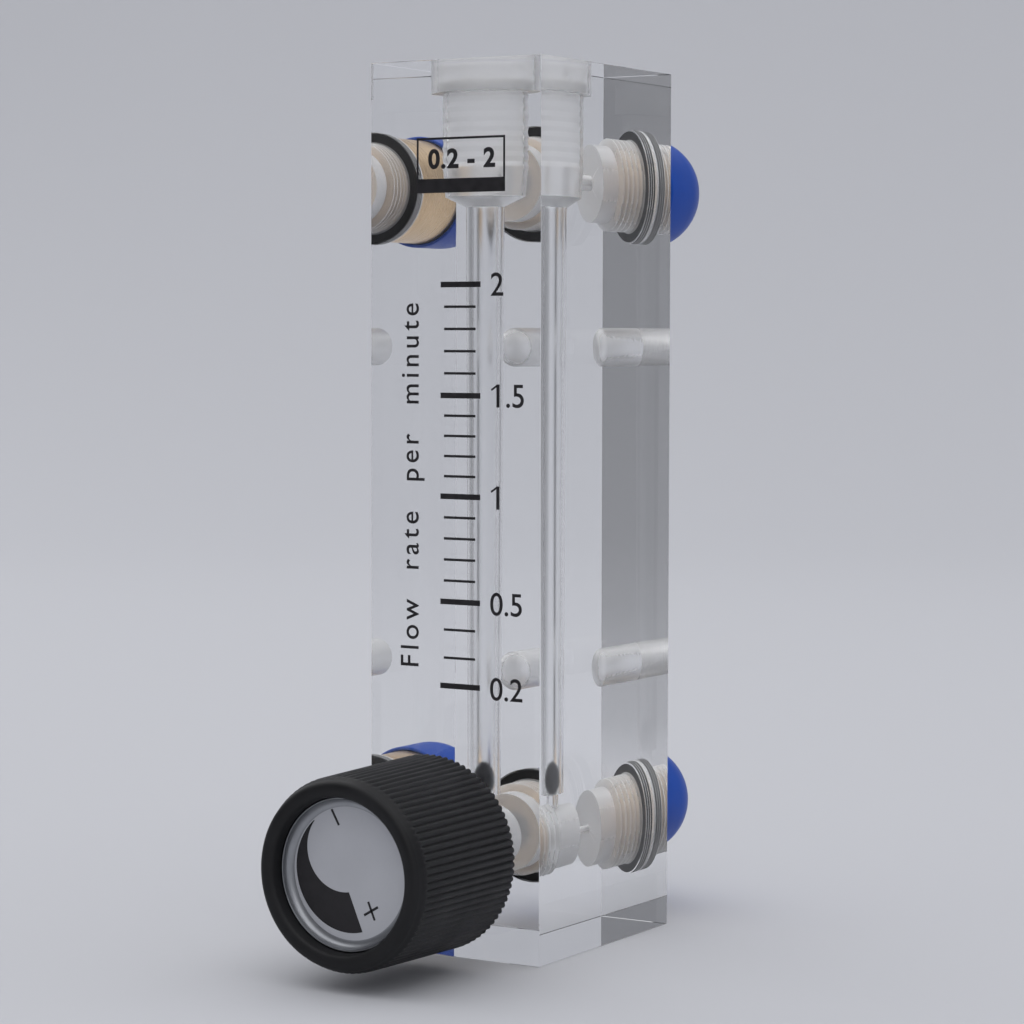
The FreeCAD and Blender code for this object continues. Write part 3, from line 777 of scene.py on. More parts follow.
@dataclass
class ClearBlock:
    """The block with its metering bore, ports, passages and blind holes."""

    at: Places
    threads: Threads
    edge: float = 0.05
    steps: int = ROUND
    seat_height: float = 19.7
    seat_radius: float = 1.2
    bore_low: float = 2.275
    bore_high: float = 2.65
    chamber_foot: float = 95.3
    cone: float = 1.3
    plug_drill: float = 5.55
    plug_seat_radius: float = 7.5
    plug_seat_depth: float = 3.7
    recess_radius: float = 7.45
    recess_depth: float = 2.2
    # Wall bands and floor ring that are painted black, for the rubber's touch and as painted shade of the
    # ring's recess.
    contact_shade_bands: tuple[Point, ...] = ((0.5, 0.95), (1.1, 1.5), (1.65, 2.05))
    floor_contact_shade: Point = (6.15, 7.25)
    port_drill: float = 5.0
    port_depth: float = 12.3
    orifice: float = 0.5
    outlet_hole: float = 1.0
    valve_recess: float = 5.8
    valve_recess_depth: float = 1.2
    valve_drill: float = 4.0
    valve_depth: float = 16.0
    mount_radius: float = 2.5
    mount_depth: float = 9.2
    mount_tip: float = 1.3
    mount_heights: tuple[float, ...] = (34.7, 76.4)
    mount_steps: int = 6
    overrun: float = 2.0
    lap: float = 0.02
    bore_lap: float = 0.05
    valve_spare_turns: int = 3
    finishes: dict[Surface, bpy.types.Material] = field(default_factory=dict)

    def build(self) -> None:
        """Build the block and cut its holes."""
        self.finishes = {surface: surface.value.material() for surface in Surface}
        block = self.bar()
        block.visible_shadow = False
        dress(block, self.finishes[Surface.POLISHED])
        for cutter in self.cutters():
            combined(block, cutter, Shaping.CUT)
        reshade(block)
        settle(block, "meter", "clear_acrylic", "body_block")

    def bar(self) -> bpy.types.Object:
        """Make the plain bar with broken edges.

        Returns:
            The bar.
        """
        bm = bmesh.new()
        bmesh.ops.create_cube(bm, size=1.0)
        size = (2.0 * self.at.side, self.at.back - self.at.front, self.at.top)
        bmesh.ops.scale(bm, vec=size, verts=bm.verts)
        bmesh.ops.translate(bm, vec=(0.0, 0.0, self.at.top / 2.0), verts=bm.verts)
        soften(bm, self.edge, 1)
        return finish_mesh("clear_block", bm, Matrix())

    def cutters(self) -> Iterable[bpy.types.Object]:
        """Give each hole as a solid, with its finish.

        Returns:
            The solids, in the order in which they are cut.
        """
        yield self.plug_hole()
        yield self.metering_bore()
        yield from self.valve_port()
        yield from self.rear_port("inlet", self.at.low, self.orifice)
        yield from self.rear_port("outlet", self.at.high, self.outlet_hole)
        for height in self.mount_heights:
            yield self.blind_hole(height)

    def cutter(self, name: str, outline: Outline, place: Matrix, surface: Surface) -> bpy.types.Object:
        """Spin a hole's outline and give it a finish."""
        return dress(turned(name + "_cut", outline, place, self.steps), self.finishes[surface])

    def press(self, cutter: bpy.types.Object, height: float) -> None:
        """Polish a recess's floor, and blacken the bands that the rubber ring is squeezed against: the
        rubber's own black where it touches, and painted shade of the ring's dark recess.

        Args:
            cutter: the port's solid.
            height: height of the port's axis.
        """
        clear, black = 1, 2
        cutter.data.materials.append(self.finishes[Surface.POLISHED])
        cutter.data.materials.append(self.finishes[Surface.SQUEEZED_AND_SHADED])
        inner, outer = self.floor_contact_shade
        for face in cutter.data.polygons:
            depth = self.at.back - face.center.y / MM
            reach = outs(cutter.data, face, height)
            if depth > self.recess_depth + CLOSE:
                continue
            if depth > self.recess_depth - CLOSE:
                # Floor faces in the ring get the black of painted shade and touch.
                pressed_and_shaded = inner - CLOSE < min(reach) and max(reach) < outer + CLOSE
                face.material_index = black if pressed_and_shaded else clear
            elif any(low < depth < high for low, high in self.contact_shade_bands):
                face.material_index = black

    def plug_hole(self) -> bpy.types.Object:
        """Make the tapped hole over the bore, with its counterbore and cone.

        Returns:
            The hole's solid.
        """
        screw = self.threads
        foot = self.chamber_foot - self.at.top
        seat = -self.plug_seat_depth
        rings = thread(seat, screw.plug_turns, -screw.pitch, screw.plug_crest, screw.plug_root)
        out = self.overrun
        outline = [(out, 0.0), (out, self.plug_seat_radius), (seat, self.plug_seat_radius), *rings,
                   (foot, self.plug_drill), (foot - self.cone, self.bore_high), (foot - self.cone, 0.0)]
        place = facing(Axis.UP, Vector((0.0, self.at.bore, self.at.top)))
        return self.cutter("plug_hole", outline, place, Surface.CEMENTED)

    def metering_bore(self) -> bpy.types.Object:
        """Make the tapered bore and the hole under the ball.

        Returns:
            The bore's solid.
        """
        top = self.chamber_foot - self.cone + self.bore_lap
        outline = [(self.at.low, 0.0), (self.at.low, self.seat_radius), (self.seat_height, self.seat_radius),
                   (self.seat_height, self.bore_low), (top, self.bore_high), (top, 0.0)]
        place = facing(Axis.UP, Vector((0.0, self.at.bore, 0.0)))
        return self.cutter("bore", outline, place, Surface.REAMED)

    def valve_port(self) -> Iterable[bpy.types.Object]:
        """Make the front port: a tapped part, and the drilled chamber beyond it.

        Returns:
            The two solids.
        """
        screw = self.threads
        place = facing(Axis.BACK, Vector((0.0, self.at.front, self.at.low)))
        out = -self.overrun
        start = self.valve_recess_depth
        turns = screw.valve_turns + self.valve_spare_turns
        end = start + turns * screw.pitch
        rings = thread(start, turns, screw.pitch, screw.valve_crest, screw.valve_root)
        yield self.cutter("valve_thread", [
            (out, 0.0), (out, self.valve_recess), (start, self.valve_recess), *rings,
            (end, self.valve_drill), (end, 0.0)], place, Surface.TAPPED)
        yield self.drilling("valve_chamber", end - self.lap, self.valve_depth, self.valve_drill, place)

    def drilling(self, name: str, start: float, end: float, radius: float, place: Matrix) -> bpy.types.Object:
        """Make a plain drilled hole from start to end along its axis."""
        outline = [(start, 0.0), (start, radius), (end, radius), (end, 0.0)]
        return self.cutter(name, outline, place, Surface.DRILLED)

    def rear_port(self, name: str, height: float, passage: float) -> Iterable[bpy.types.Object]:
        """Make a rear port: recess and tapped part, the drilled end, and the passage to the bore.

        Args:
            name: the port's name.
            height: height of its axis.
            passage: radius of the passage.

        Returns:
            The three solids.
        """
        screw = self.threads
        place = facing(Axis.FRONT, Vector((0.0, self.at.back, height)))
        out = -self.overrun
        start = self.recess_depth
        end = start + screw.port_turns * screw.pitch
        rings = thread(start, screw.port_turns, screw.pitch, screw.port_crest, screw.port_root)
        bands = [(depth, self.recess_radius) for band in self.contact_shade_bands for depth in band]
        thread_cut = self.cutter(name + "_thread", [
            (out, 0.0), (out, self.recess_radius), *bands, (start, self.recess_radius),
            (start, self.floor_contact_shade[1]), (start, self.floor_contact_shade[0]), *rings,
            (end, self.port_drill), (end, 0.0)], place, Surface.TAPPED)
        self.press(thread_cut, height)
        yield thread_cut
        yield self.drilling(name + "_drill", end - self.lap, self.port_depth, self.port_drill, place)
        reach = self.at.back - self.at.bore
        yield self.drilling(name + "_passage", self.port_depth - self.lap, reach, passage, place)

    def blind_hole(self, height: float) -> bpy.types.Object:
        """Make a blind hole in the back, with its rounded end.

        Args:
            height: height of its axis.

        Returns:
            The hole's solid.
        """
        place = facing(Axis.FRONT, Vector((0.0, self.at.back, height)))
        radius, tip, out = self.mount_radius, self.mount_tip, -self.overrun
        turns = [math.radians(90.0 * step / self.mount_steps) for step in range(1, self.mount_steps)]
        nose = [(self.mount_depth + tip * math.sin(turn), radius * math.cos(turn)) for turn in turns]
        outline = [(out, 0.0), (out, radius), (self.mount_depth, radius), *nose,
                   (self.mount_depth + tip, 0.0)]
        return self.cutter(f"blind_{height:.0f}", outline, place, Surface.FROSTED)


# ---------------------------------------------------------------- plug and ball


@dataclass
class TopPlug:
    """Screwed plug over the bore."""

    at: Places
    threads: Threads
    head_radius: float = 7.3
    head_sink: float = 0.2
    head_foot: float = -2.2
    thread_start: float = -3.7
    turns: int = 7
    edge: float = 0.35
    chamber: float = -12.5
    nose_radius: float = 2.0
    nose_tip: float = -16.4
    socket: float = 6.0
    socket_depth: float = 4.0
    overrun: float = 1.0

    def build(self) -> None:
        """Build the plug and sink its socket."""
        screw = self.threads
        place = facing(Axis.UP, Vector((0.0, self.at.bore, self.at.top)))
        crest = screw.plug_crest - screw.gap
        root = screw.plug_root - screw.gap
        rings = thread(self.thread_start, self.turns, -screw.pitch, crest, root)
        outline = [(-self.head_sink, 0.0), (-self.head_sink, self.head_radius - self.edge),
                   (-self.head_sink - self.edge, self.head_radius), (self.head_foot, self.head_radius),
                   (self.head_foot, root), (self.thread_start, root), *rings, (self.chamber, crest),
                   (self.chamber, self.nose_radius), (self.nose_tip + self.edge, self.nose_radius),
                   (self.nose_tip, self.nose_radius - self.edge), (self.nose_tip, 0.0)]
        milky = MilkyPlastic("plug_plastic", (0.975, 0.975, 0.98), 0.8, index=1.15).material()
        plug = dress(turned("screwed_plug", outline, place), milky)
        bottom = -self.head_sink - self.socket_depth
        socket = hexagon("socket_cut", self.socket, bottom, self.overrun, place)
        combined(plug, dress(socket, milky), Shaping.CUT)
        reshade(plug)
        plug.visible_shadow = False
        settle(plug, "meter", "plug_acrylic", "top_plug")


@dataclass
class Rings:
    """Soft rings: at the plug, the rear ports, the bonnet and the stem."""

    sides: int = 24

    def build(self) -> None:
        """Build each ring where the CAD ring lies."""
        black = Rubber().material()
        clear = MilkyPlastic("ring_silicone", (0.9, 0.9, 0.9), 0.7).material()
        for node, body, axis, slot, material in (
            ("plug_seal", "meter", Axis.UP, "silicone_clear", clear),
            ("inlet_seal", "meter", Axis.BACK, "rubber_black", black),
            ("outlet_seal", "meter", Axis.BACK, "rubber_black", black),
            ("bushing_seal", "meter", Axis.BACK, "rubber_black", black),
            ("stem_seal", "needle_carriage", Axis.BACK, "rubber_black", black),
        ):
            middle, size = node_box(node)
            section = min(size) / 2.0
            circle = max(size) / 2.0 - section
            steps = self.sides - 1
            outline = arc((0.0, circle), section, 0.0, 360.0 * steps / self.sides, steps)
            ring = turned("ring_" + node, outline, facing(axis, middle), closed=True)
            settle(dress(ring, material), body, slot, node)


@dataclass
class Ball:
    """Ball float."""

    segments: int = 64
    rings: int = 40

    def build(self) -> None:
        """Build the ball on its seat."""
        middle, size = node_box("float_ball")
        bm = bmesh.new()
        bmesh.ops.create_uvsphere(bm, u_segments=self.segments, v_segments=self.rings, radius=size.z / 2.0)
        ball = finish_mesh("ball", bm, facing(Axis.UP, middle))
        settle(dress(ball, DarkGlass().material()), "float", "float_black", "float_ball")


# ---------------------------------------------------------------- fittings and caps


@dataclass
class Fitting:
    """Brass fitting of a rear port and the push-on cap over its collar."""

    at: Places
    threads: Threads
    name: str
    cap_body: str
    height: float
    brass: bpy.types.Material
    vinyl: bpy.types.Material
    cap_gap: float
    stub_end: float = -10.5
    bore: float = 2.5
    nose_radius: float = 4.7
    thread_start: float = -2.2
    neck_radius: float = 5.89
    collar_face: float = -0.7
    collar_radius: float = 7.0
    collar_length: float = 13.2
    collar_edge: float = 0.5
    hose_radius: float = 4.4
    hose_depth: float = 7.5
    cap_inside: float = 7.05
    cap_outside: float = 7.55
    cap_skirt: float = 5.75
    inside_steps: int = 20
    outside_steps: int = 24
    mouth_steps: int = 8

    def build(self) -> None:
        """Build the fitting and its cap."""
        self.fitting()
        self.cap()

    def fitting(self) -> None:
        """Spin the screwed stub, the collar and the tapped hole."""
        screw = self.threads
        crest = screw.port_crest - screw.gap
        root = screw.port_root - screw.gap
        rings = thread(self.thread_start, screw.port_turns, -screw.pitch, crest, root)
        rings.reverse()
        end = self.collar_length
        edge = self.collar_edge
        outline = [
            (self.stub_end, self.bore), (self.stub_end, self.nose_radius),
            (self.thread_start - screw.port_turns * screw.pitch, self.nose_radius), *rings,
            (self.thread_start, self.neck_radius), (self.collar_face, self.neck_radius),
            (self.collar_face, self.collar_radius), (end - edge, self.collar_radius),
            (end, self.collar_radius - edge), (end, self.hose_radius + edge), (end - edge, self.hose_radius),
            (end - self.hose_depth, self.hose_radius), (end - self.hose_depth - edge, self.bore)]
        place = facing(Axis.BACK, Vector((0.0, self.at.back, self.height)))
        piece = turned(self.name + "_hose_fitting", outline, place, closed=True)
        settle(dress(piece, self.brass), "meter", "brass", self.name + "_fitting")

    def cap(self) -> None:
        """Spin the domed cap with its rounded mouth."""
        skirt = self.cap_skirt
        inside = arc((skirt, 0.0), self.cap_inside, 0.0, 90.0, self.inside_steps)
        outside = arc((skirt, 0.0), self.cap_outside, 90.0, 0.0, self.outside_steps)
        wall = self.cap_outside - self.cap_inside
        middle = (wall / 2.0, self.cap_inside + wall / 2.0)
        mouth = arc(middle, wall / 2.0, 270.0, 90.0, self.mouth_steps)
        outline = [*inside, *mouth, *outside]
        place = facing(Axis.BACK, Vector((0.0, self.at.back + self.cap_gap, self.height)))
        piece = turned(self.name + "_blue_cap", outline, place)
        settle(dress(piece, self.vinyl), self.cap_body, "cap_blue", self.name + "_cap")


# ---------------------------------------------------------------- valve and knob


@dataclass
class Valve:
    """Bonnet and stem of the needle valve."""

    at: Places
    threads: Threads
    brass: bpy.types.Material
    stub_end: float = -8.0
    thread_start: float = -1.2
    hexagon_across: float = 14.0
    hexagon_end: float = 2.5
    neck_radius: float = 4.5
    neck_end: float = 6.3
    thread_bore: float = 3.05
    guide_bore: float = 3.4
    guide_end: float = -2.6
    hexagon_edge: float = 0.2
    overrun: float = 1.0

    def build(self) -> None:
        """Build the bonnet, and dress the CAD's stem, nut, bush, washer and set screw."""
        screw = self.threads
        place = facing(Axis.FRONT, Vector((0.0, self.at.front, self.at.low)))
        crest = screw.valve_crest - screw.gap
        root = screw.valve_root - screw.gap
        rings = thread(self.thread_start, screw.valve_turns, -screw.pitch, crest, root)
        rings.reverse()
        outline = [(self.stub_end, 0.0), (self.stub_end, crest), *rings, (self.thread_start, root),
                   (0.0, root), (0.0, self.neck_radius), (self.neck_end, self.neck_radius),
                   (self.neck_end, 0.0)]
        bonnet = turned("bonnet", outline, place)
        flange = hexagon("flange", self.hexagon_across, 0.0, self.hexagon_end, place, self.hexagon_edge)
        combined(bonnet, flange, Shaping.FUSE)
        inner, outer = self.stub_end - self.overrun, self.neck_end + self.overrun
        bore = [(inner, 0.0), (inner, self.thread_bore), (self.guide_end, self.thread_bore),
                (self.guide_end, self.guide_bore), (outer, self.guide_bore), (outer, 0.0)]
        combined(bonnet, turned("bonnet_bore", bore, place), Shaping.CUT)
        reshade(bonnet)
        settle(dress(bonnet, self.brass), "meter", "brass", "valve_bushing")
        for node, material in (
            ("valve_stem", Metal.STEM_STEEL.value.material()),
            ("gland_nut", self.brass),
            ("knob_bush", self.brass),
            ("gland_washer", PlainPlastic("washer_nylon", (0.82, 0.82, 0.79), 0.5).material()),
            ("knob_screw", PlainPlastic("screw_blacked", (0.04, 0.04, 0.042), 0.35).material()),
        ):
            dress(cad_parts[node], material)


@dataclass
class Knob:
    """Ribbed knob, its dished plate and the marks on the plate."""

    at: Places
    gap: float = 5.15
    radius: float = 12.2
    draft: float = 0.4
    length: float = 20.6
    ribs: int = 84
    rib_steps: int = 8
    rib_depth: float = 0.26
    rib_share: float = 0.66
    rib_end: float = 18.6
    rib_fade: float = 0.7
    rear_edge: float = 0.2
    taper_start: float = 18.8
    round_radius: float = 0.8
    taper: float = 0.4
    lead: float = 0.4
    recess_radius: float = 9.35
    recess_depth: float = 3.5
    nut_recess_radius: float = 7.63
    nut_recess_depth: float = 3.75
    bush_radius: float = 4.0
    bush_depth: float = 16.3
    screw_setback: float = 11.85
    screw_radius: float = 1.55
    plate_floor: float = 0.8
    plate_edge: float = 0.25
    plate_cove: float = 1.0
    plate_play: float = 0.1
    sharp: float = 50.0
    overrun: float = 1.0
    screw_steps: int = 32
    taper_shares: tuple[float, ...] = (0.2, 0.4, 0.7)
    round_steps: int = 6
    cove_steps: int = 10
    lip_steps: int = 8
    plate_steps: int = 128
    wedge_outer: tuple[Point, float, float, float, int] = ((-0.2, 0.35), 7.49, 131.2, 286.1, 40)
    wedge_inner: tuple[Point, float, float, float, int] = ((-0.98, 2.79), 5.13, 280.2, 142.4, 32)
    minus: tuple[tuple[Point, Point], ...] = (((-2.57, 7.5), (-1.51, 5.66)),)
    plus: tuple[tuple[Point, Point], ...] = (((2.69, -3.12), (3.62, -5.26)), ((2.11, -4.79), (4.08, -3.63)))
    mark_width: float = 0.3

    def place(self) -> Matrix:
        """Give the transform of the knob's axis, from its rear."""
        return facing(Axis.FRONT, Vector((0.0, self.at.front - self.gap, self.at.low)))

    def build(self) -> None:
        """Build the knob, its plate and the marks."""
        self.grip()
        self.plate()
        self.marks()

    def rib_dip(self, angle: float, along: float) -> float:
        """Give how deep the groove between two ribs is at a place.

        Args:
            angle: angle round the knob in radians.
            along: distance from the knob's rear.

        Returns:
            The depth below the ribs' tops.
        """
        phase = (angle * self.ribs / math.tau) % 1.0
        across = min(phase, 1.0 - phase) * 2.0
        groove = max(0.0, 1.0 - across / self.rib_share)
        fade = min(1.0, max(0.0, (self.rib_end + self.rib_fade - along) / self.rib_fade))
        return self.rib_depth * groove * fade

    def grip(self) -> None:
        """Spin the knob and press the grooves between its ribs in."""
        length, edge = self.length, self.rear_edge
        front = self.radius - self.draft
        before = self.rib_end / self.taper_start
        skirt = [(0.0, self.radius - edge), (edge, self.radius),
                 (self.rib_end, self.radius - before * self.draft), (self.taper_start, front)]
        middle = (length - self.round_radius, front - self.taper - self.round_radius)
        taper_run = middle[0] - self.taper_start
        for share in self.taper_shares:
            skirt.append((self.taper_start + share * taper_run, front - share * share * self.taper))
        nose = arc(middle, self.round_radius, 90.0, 0.0, self.round_steps)
        outline = [
            (self.bush_depth, 0.0), (self.bush_depth, self.bush_radius),
            (self.nut_recess_depth, self.bush_radius), (self.nut_recess_depth, self.nut_recess_radius),
            (0.0, self.nut_recess_radius), *skirt, *nose,
            (length, self.recess_radius + self.lead), (length - self.lead, self.recess_radius),
            (length - self.recess_depth, self.recess_radius), (length - self.recess_depth, 0.0)]
        bm = spun(outline, self.ribs * self.rib_steps)
        for vert in bm.verts:
            out = math.hypot(vert.co.x, vert.co.y)
            if out > self.recess_radius + 2.0 * self.lead:
                dip = self.rib_dip(math.atan2(vert.co.y, vert.co.x), vert.co.z)
                vert.co.xy *= (out - dip) / out
        knob = finish_mesh("ribbed_knob", bm, self.place(), self.sharp)
        out = self.radius + self.overrun
        hole = [(0.0, 0.0), (0.0, self.screw_radius), (out, self.screw_radius), (out, 0.0)]
        axis = Vector((0.0, self.at.front - self.gap - self.screw_setback, self.at.low))
        combined(knob, turned("screw_cut", hole, facing(Axis.DOWN, axis), self.screw_steps), Shaping.CUT)
        reshade(knob, self.sharp)
        settle(dress(knob, KnobPlastic().material()), "knob_and_stem", "knob_black", "knob")

    def plate(self) -> None:
        """Spin the dished plate, and paint shade on its cove with a darker metal."""
        seat = self.length - self.recess_depth
        edge = self.recess_radius - self.plate_play
        floor = seat + self.plate_floor
        wall = edge - self.plate_edge
        rim = floor + self.plate_cove
        cove = arc((rim, wall - self.plate_cove), self.plate_cove, 90.0, 180.0, self.cove_steps)
        round_edge = self.plate_edge / 2.0
        lip = arc((rim - round_edge, edge - round_edge), round_edge, 90.0, -90.0, self.lip_steps)
        outline = [(seat, 0.0), (seat, edge), *lip, *cove, (floor, 0.0)]
        plate = turned("dished_plate", outline, self.place(), self.plate_steps)
        dress(plate, SatinPlate().material())
        # The cove's faces take a darker metal, which paints the shade of the cove.
        plate.data.materials.append(Metal.DISH_COVE_SHADE.value.material())
        front = self.at.front - self.gap - floor
        for face in plate.data.polygons:
            in_shaded_cove = min(outs(plate.data, face, self.at.low)) > wall - self.plate_cove - CLOSE
            if in_shaded_cove and face.center.y / MM < front - FLAT:
                face.material_index = 1
        settle(plate, "knob_and_stem", "dish_silver", "knob_insert")

    def marks(self) -> None:
        """Print the flow wedge, the minus and the plus on the plate."""
        floor = self.gap + self.length - self.recess_depth + self.plate_floor
        sheet = Printing(self.at.front - floor, self.at.low)
        sheet.patch([*sheet.bow(*self.wedge_outer), *sheet.bow(*self.wedge_inner)])
        for start, end in (*self.minus, *self.plus):
            sheet.stroke(start, end, self.mark_width)
        marks = finish_mesh("plate_marks", sheet.bm, sheet.place())
        settle(dress(marks, Ink("plate_ink").material()), "knob_and_stem", "knob_black")


# ---------------------------------------------------------------- prints


@dataclass
class Printing:
    """A layer of ink on a face that looks to the front, drawn in (right, up) millimetres."""

    face: float
    height: float = 0.0
    gap: float = 0.004
    thickness: float = 0.012
    bm: bmesh.types.BMesh = field(default_factory=bmesh.new)

    def place(self) -> Matrix:
        """Give the transform of the drawing onto its face."""
        lift = Matrix.Translation(Vector((0.0, self.face - self.gap, self.height)) * MM)
        return lift @ Matrix.Rotation(math.pi / 2.0, 4, "X")

    def bow(self, middle: Point, radius: float, start: float, end: float, steps: int) -> list[Vector]:
        """Give points on an arc between two angles in degrees."""
        return [Vector((*point, 0.0)) for point in arc(middle, radius, start, end, steps)]

    def patch(self, corners: Sequence[Vector]) -> None:
        """Fill an outline with ink of the layer's thickness.

        Args:
            corners: the outline, in order.
        """
        verts = [self.bm.verts.new(corner) for corner in corners]
        raised(self.bm, [self.bm.faces.new(verts)], self.thickness)

    def stroke(self, start: Point, end: Point, width: float) -> None:
        """Draw a straight line.

        Args:
            start: middle of one end.
            end: middle of the other.
            width: width of the line.
        """
        first, last = Vector((*start, 0.0)), Vector((*end, 0.0))
        side = (last - first).normalized().cross(Vector((0.0, 0.0, 1.0))) * width / 2.0
        self.patch([first - side, first + side, last + side, last - side])


@dataclass(frozen=True)
class Lettering:
    """A line of plain letters or numbers.

    Its height is that of its capitals, (left, foot) is where it starts, turn is in radians, narrow is
    its width against its height, spacing is 1 for each letter's own width, and weight is how far its
    strokes swell, as a share of the line's height.
    """

    name: str
    text: str
    height: float
    left: float
    foot: float
    turn: float = 0.0
    narrow: float = 1.0
    spacing: float = 1.0
    weight: float = 0.006

    def outline(self) -> bpy.types.Mesh:
        """Make the flat letters, at their font's size.

        Returns:
            Their mesh.
        """
        curve = bpy.data.curves.new(self.name, "FONT")
        curve.body = self.text
        curve.size = 1.0
        curve.space_character = self.spacing
        curve.offset = self.weight
        source = bpy.data.objects.new(self.name + "_letters", curve)
        bpy.context.scene.collection.objects.link(source)
        graph = bpy.context.evaluated_depsgraph_get()
        flat = bpy.data.meshes.new_from_object(source.evaluated_get(graph))
        bpy.data.objects.remove(source)
        bpy.data.curves.remove(curve)
        return flat


@dataclass
class ScalePrint:
    """The scale on the block's front: graduation lines, their numbers and a caption."""

    at: Places
    majors: tuple[tuple[str, float], ...] = (
        ("2", 84.19), ("1.5", 70.42), ("1", 57.85), ("0.5", 44.69), ("0.2", 34.12))
    minor_counts: tuple[int, ...] = (4, 4, 4, 2)
    major_span: Point = (-2.04, 3.81)
    minor_span: Point = (-1.52, 3.10)
    major_width: float = 0.7
    minor_width: float = 0.32
    number_left: float = 5.3
    number_height: float = 2.87
    flag_run: float = 0.85
    flag_drop: float = 0.7
    flag_inset: float = 0.1
    flag_top: float = 0.14
    flag_width: float = 0.24
    frame_box: tuple[float, float, float, float] = (-5.6, 95.55, 7.33, 102.4)
    frame_line: float = 0.28
    frame_band: float = 1.75
    caption: Lettering = Lettering("scale_caption", "Flow  rate  per  minute", 3.57, -4.4, 36.3,
                                   math.pi / 2.0, 0.933, 1.3)
    range_numbers: Lettering = Lettering("range_numbers", "0.2 - 2", 2.5, -3.9, 98.5,
                                         0.0, 1.04, 1.1, 0.035)

    def build(self) -> None:
        """Print the lines, the numbers, the caption and the range frame."""
        ink = Ink().material()
        sheet = Printing(self.at.front)
        self.lines(sheet)
        self.range_frame(sheet)
        size = self.number_height
        for index, (label, height) in enumerate(self.majors):
            left = self.number_left
            top = height + size / 2.0
            if label.startswith("1"):
                tip = (left + self.flag_inset, top - self.flag_drop)
                left += self.flag_run
                sheet.stroke(tip, (left + self.flag_inset, top - self.flag_top), self.flag_width)
            name = f"scale_number_{index + 1}"
            self.words(Lettering(name, label, size, left, height - size / 2.0), ink)
        lines = finish_mesh("scale_lines", sheet.bm, sheet.place())
        settle(dress(lines, ink), "meter", "knob_black")
        self.words(self.caption, ink)
        self.words(self.range_numbers, ink)

    def lines(self, sheet: Printing) -> None:
        """Draw the long lines at the numbers and the short ones between them.

        Args:
            sheet: the layer that they are drawn on.
        """
        for (_, height), (_, below), count in zip(self.majors, self.majors[1:], self.minor_counts):
            for step in range(1, count + 1):
                level = height + (below - height) * step / (count + 1)
                sheet.stroke((self.minor_span[0], level), (self.minor_span[1], level), self.minor_width)
        for _, height in self.majors:
            sheet.stroke((self.major_span[0], height), (self.major_span[1], height), self.major_width)

    def range_frame(self, sheet: Printing) -> None:
        """Draw the frame round the range numbers, with a solid band at its foot.

        Args:
            sheet: the layer that it is drawn on.
        """
        left, foot, right, head = self.frame_box
        width = self.frame_line
        inset = width / 2.0
        band = foot + self.frame_band
        middle = foot + self.frame_band / 2.0
        sheet.stroke((left, middle), (right, middle), self.frame_band)
        sheet.stroke((left, head - inset), (right, head - inset), width)
        sheet.stroke((left + inset, band), (left + inset, head - width), width)
        sheet.stroke((right - inset, band), (right - inset, head - width), width)

    def words(self, line: Lettering, ink: bpy.types.Material) -> None:
        """Print a line of letters.

        Args:
            line: the letters.
            ink: their material.
        """
        flat = line.outline()
        sheet = Printing(self.at.front)
        sheet.bm.from_mesh(flat)
        bpy.data.meshes.remove(flat)
        bmesh.ops.remove_doubles(sheet.bm, verts=sheet.bm.verts, dist=MERGE)
        left = min(vert.co.x for vert in sheet.bm.verts)
        foot = min(vert.co.y for vert in sheet.bm.verts)
        scale = line.height / (max(vert.co.y for vert in sheet.bm.verts) - foot)
        start = Matrix.Translation((line.left, line.foot, 0.0)) @ Matrix.Rotation(line.turn, 4, "Z")
        size = Matrix.Diagonal((scale * line.narrow, scale, 1.0, 1.0))
        fit = start @ size @ Matrix.Translation((-left, -foot, 0.0))
        bmesh.ops.transform(sheet.bm, matrix=fit, verts=sheet.bm.verts)
        raised(sheet.bm, sheet.bm.faces, sheet.thickness)
        letters = finish_mesh(line.name, sheet.bm, sheet.place())
        settle(dress(letters, ink), "meter", "knob_black")


# ---------------------------------------------------------------- studio


@dataclass(frozen=True)
class Softbox:
    """Square soft light, in metres and watts, aimed at a target."""

    name: str
    place: Triple
    target: Triple
    size: float
    power: float

    def hang(self) -> None:
        """Put the light in the scene."""
        light = bpy.data.lights.new(self.name, "AREA")
        light.size = self.size
        light.energy = self.power
        holder = bpy.data.objects.new(self.name, light)
        holder.location = self.place
        aim = Vector(self.target) - Vector(self.place)
        holder.rotation_euler = aim.to_track_quat("-Z", "Y").to_euler()
        holder.visible_transmission = False
        bpy.context.scene.collection.objects.link(holder)


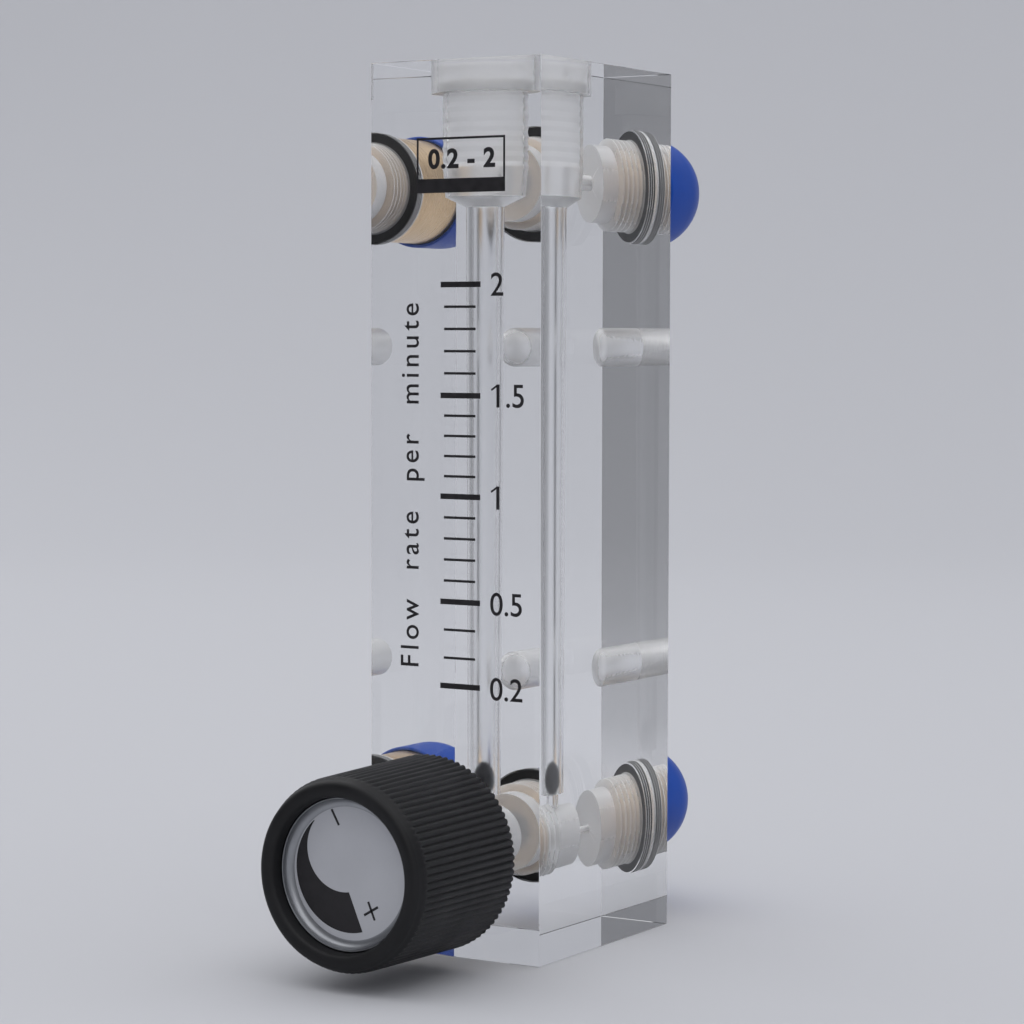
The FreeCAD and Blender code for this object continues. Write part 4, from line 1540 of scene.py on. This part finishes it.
@dataclass
class Studio:
    """Pale sweep, soft lights and the camera."""

    lamps: tuple[Softbox, ...] = (
        Softbox("top_softbox", (0.0, 0.05, 1.15), (0.0, 0.0, 0.0), 2.0, 9.0),
        Softbox("left_softbox", (-0.85, 0.15, 0.55), (0.0, 0.0, 0.05), 0.7, 1.03),
        Softbox("right_softbox", (0.45, -0.95, 0.55), (0.0, 0.0, 0.03), 0.8, 1.7))
    sky: Triple = (0.61, 0.62, 0.645)
    eye: Triple = (201.85, -332.80, 77.52)
    yaw: float = 31.446
    pitch: float = -3.2915
    roll: float = 0.131
    lens: float = 106.08
    sensor: float = 36.0
    nearest: float = 10.0
    floor_drop: float = 0.1
    room_flat: float = 300.0
    room_radius: float = 700.0
    room_cove: float = 850.0
    room_height: float = 1000.0
    cove_steps: int = 16

    def build(self) -> None:
        """Set up the stage."""
        self.room()
        self.world()
        for lamp in self.lamps:
            lamp.hang()
        self.camera()
        bpy.context.scene.view_settings.view_transform = "Standard"

    def room(self) -> None:
        """Make the floor that curves up into a round backdrop."""
        bend = arc((self.room_cove, self.room_radius), self.room_cove, 180.0, 90.0, self.cove_steps)
        profile = [(0.0, 0.0), (0.0, self.room_flat), *bend, (self.room_height, bend[-1][1])]
        drop = Matrix.Translation((0.0, 0.0, -self.floor_drop * MM))
        # The paper's colour carries painted shade, darker away from the object in front to the left.
        floor = dress(turned("floor", profile, drop), PalePaper().material())

    def world(self) -> None:
        """Light the room evenly from its open top."""
        world = bpy.data.worlds.new("sky")
        bpy.context.scene.world = world
        world.use_nodes = True
        sky = world.node_tree.nodes["Background"]
        sky.inputs["Color"].default_value = (*self.sky, 1.0)

    def camera(self) -> None:
        """Place the camera."""
        lens = bpy.data.cameras.new("camera")
        lens.lens = self.lens
        lens.sensor_width = self.sensor
        lens.clip_start = self.nearest * MM
        holder = bpy.data.objects.new("camera", lens)
        upright = Matrix.Rotation(math.radians(90.0 + self.pitch), 4, "X")
        turn = Matrix.Rotation(math.radians(self.yaw), 4, "Z")
        roll = Matrix.Rotation(math.radians(self.roll), 4, "Z")
        holder.matrix_world = Matrix.Translation(Vector(self.eye) * MM) @ turn @ upright @ roll
        bpy.context.scene.collection.objects.link(holder)
        bpy.context.scene.camera = holder


def main() -> None:
    """Build the stage and every sub-assembly in order."""
    logging.basicConfig(level=logging.INFO, format="%(name)s: %(message)s")
    at = Places.measured()
    threads = Threads()
    brass = Metal.BRASS.value.material()
    vinyl = SoftVinyl().material()
    Studio().build()
    ClearBlock(at, threads).build()
    TopPlug(at, threads).build()
    Rings().build()
    Ball().build()
    Fitting(at, threads, "inlet", "lower_cap", at.low, brass, vinyl, cap_gap=7.4).build()
    Fitting(at, threads, "outlet", "upper_cap", at.high, brass, vinyl, cap_gap=9.7).build()
    Valve(at, threads, brass).build()
    Knob(at).build()
    ScalePrint(at).build()


if __name__ == "__main__":
    main()
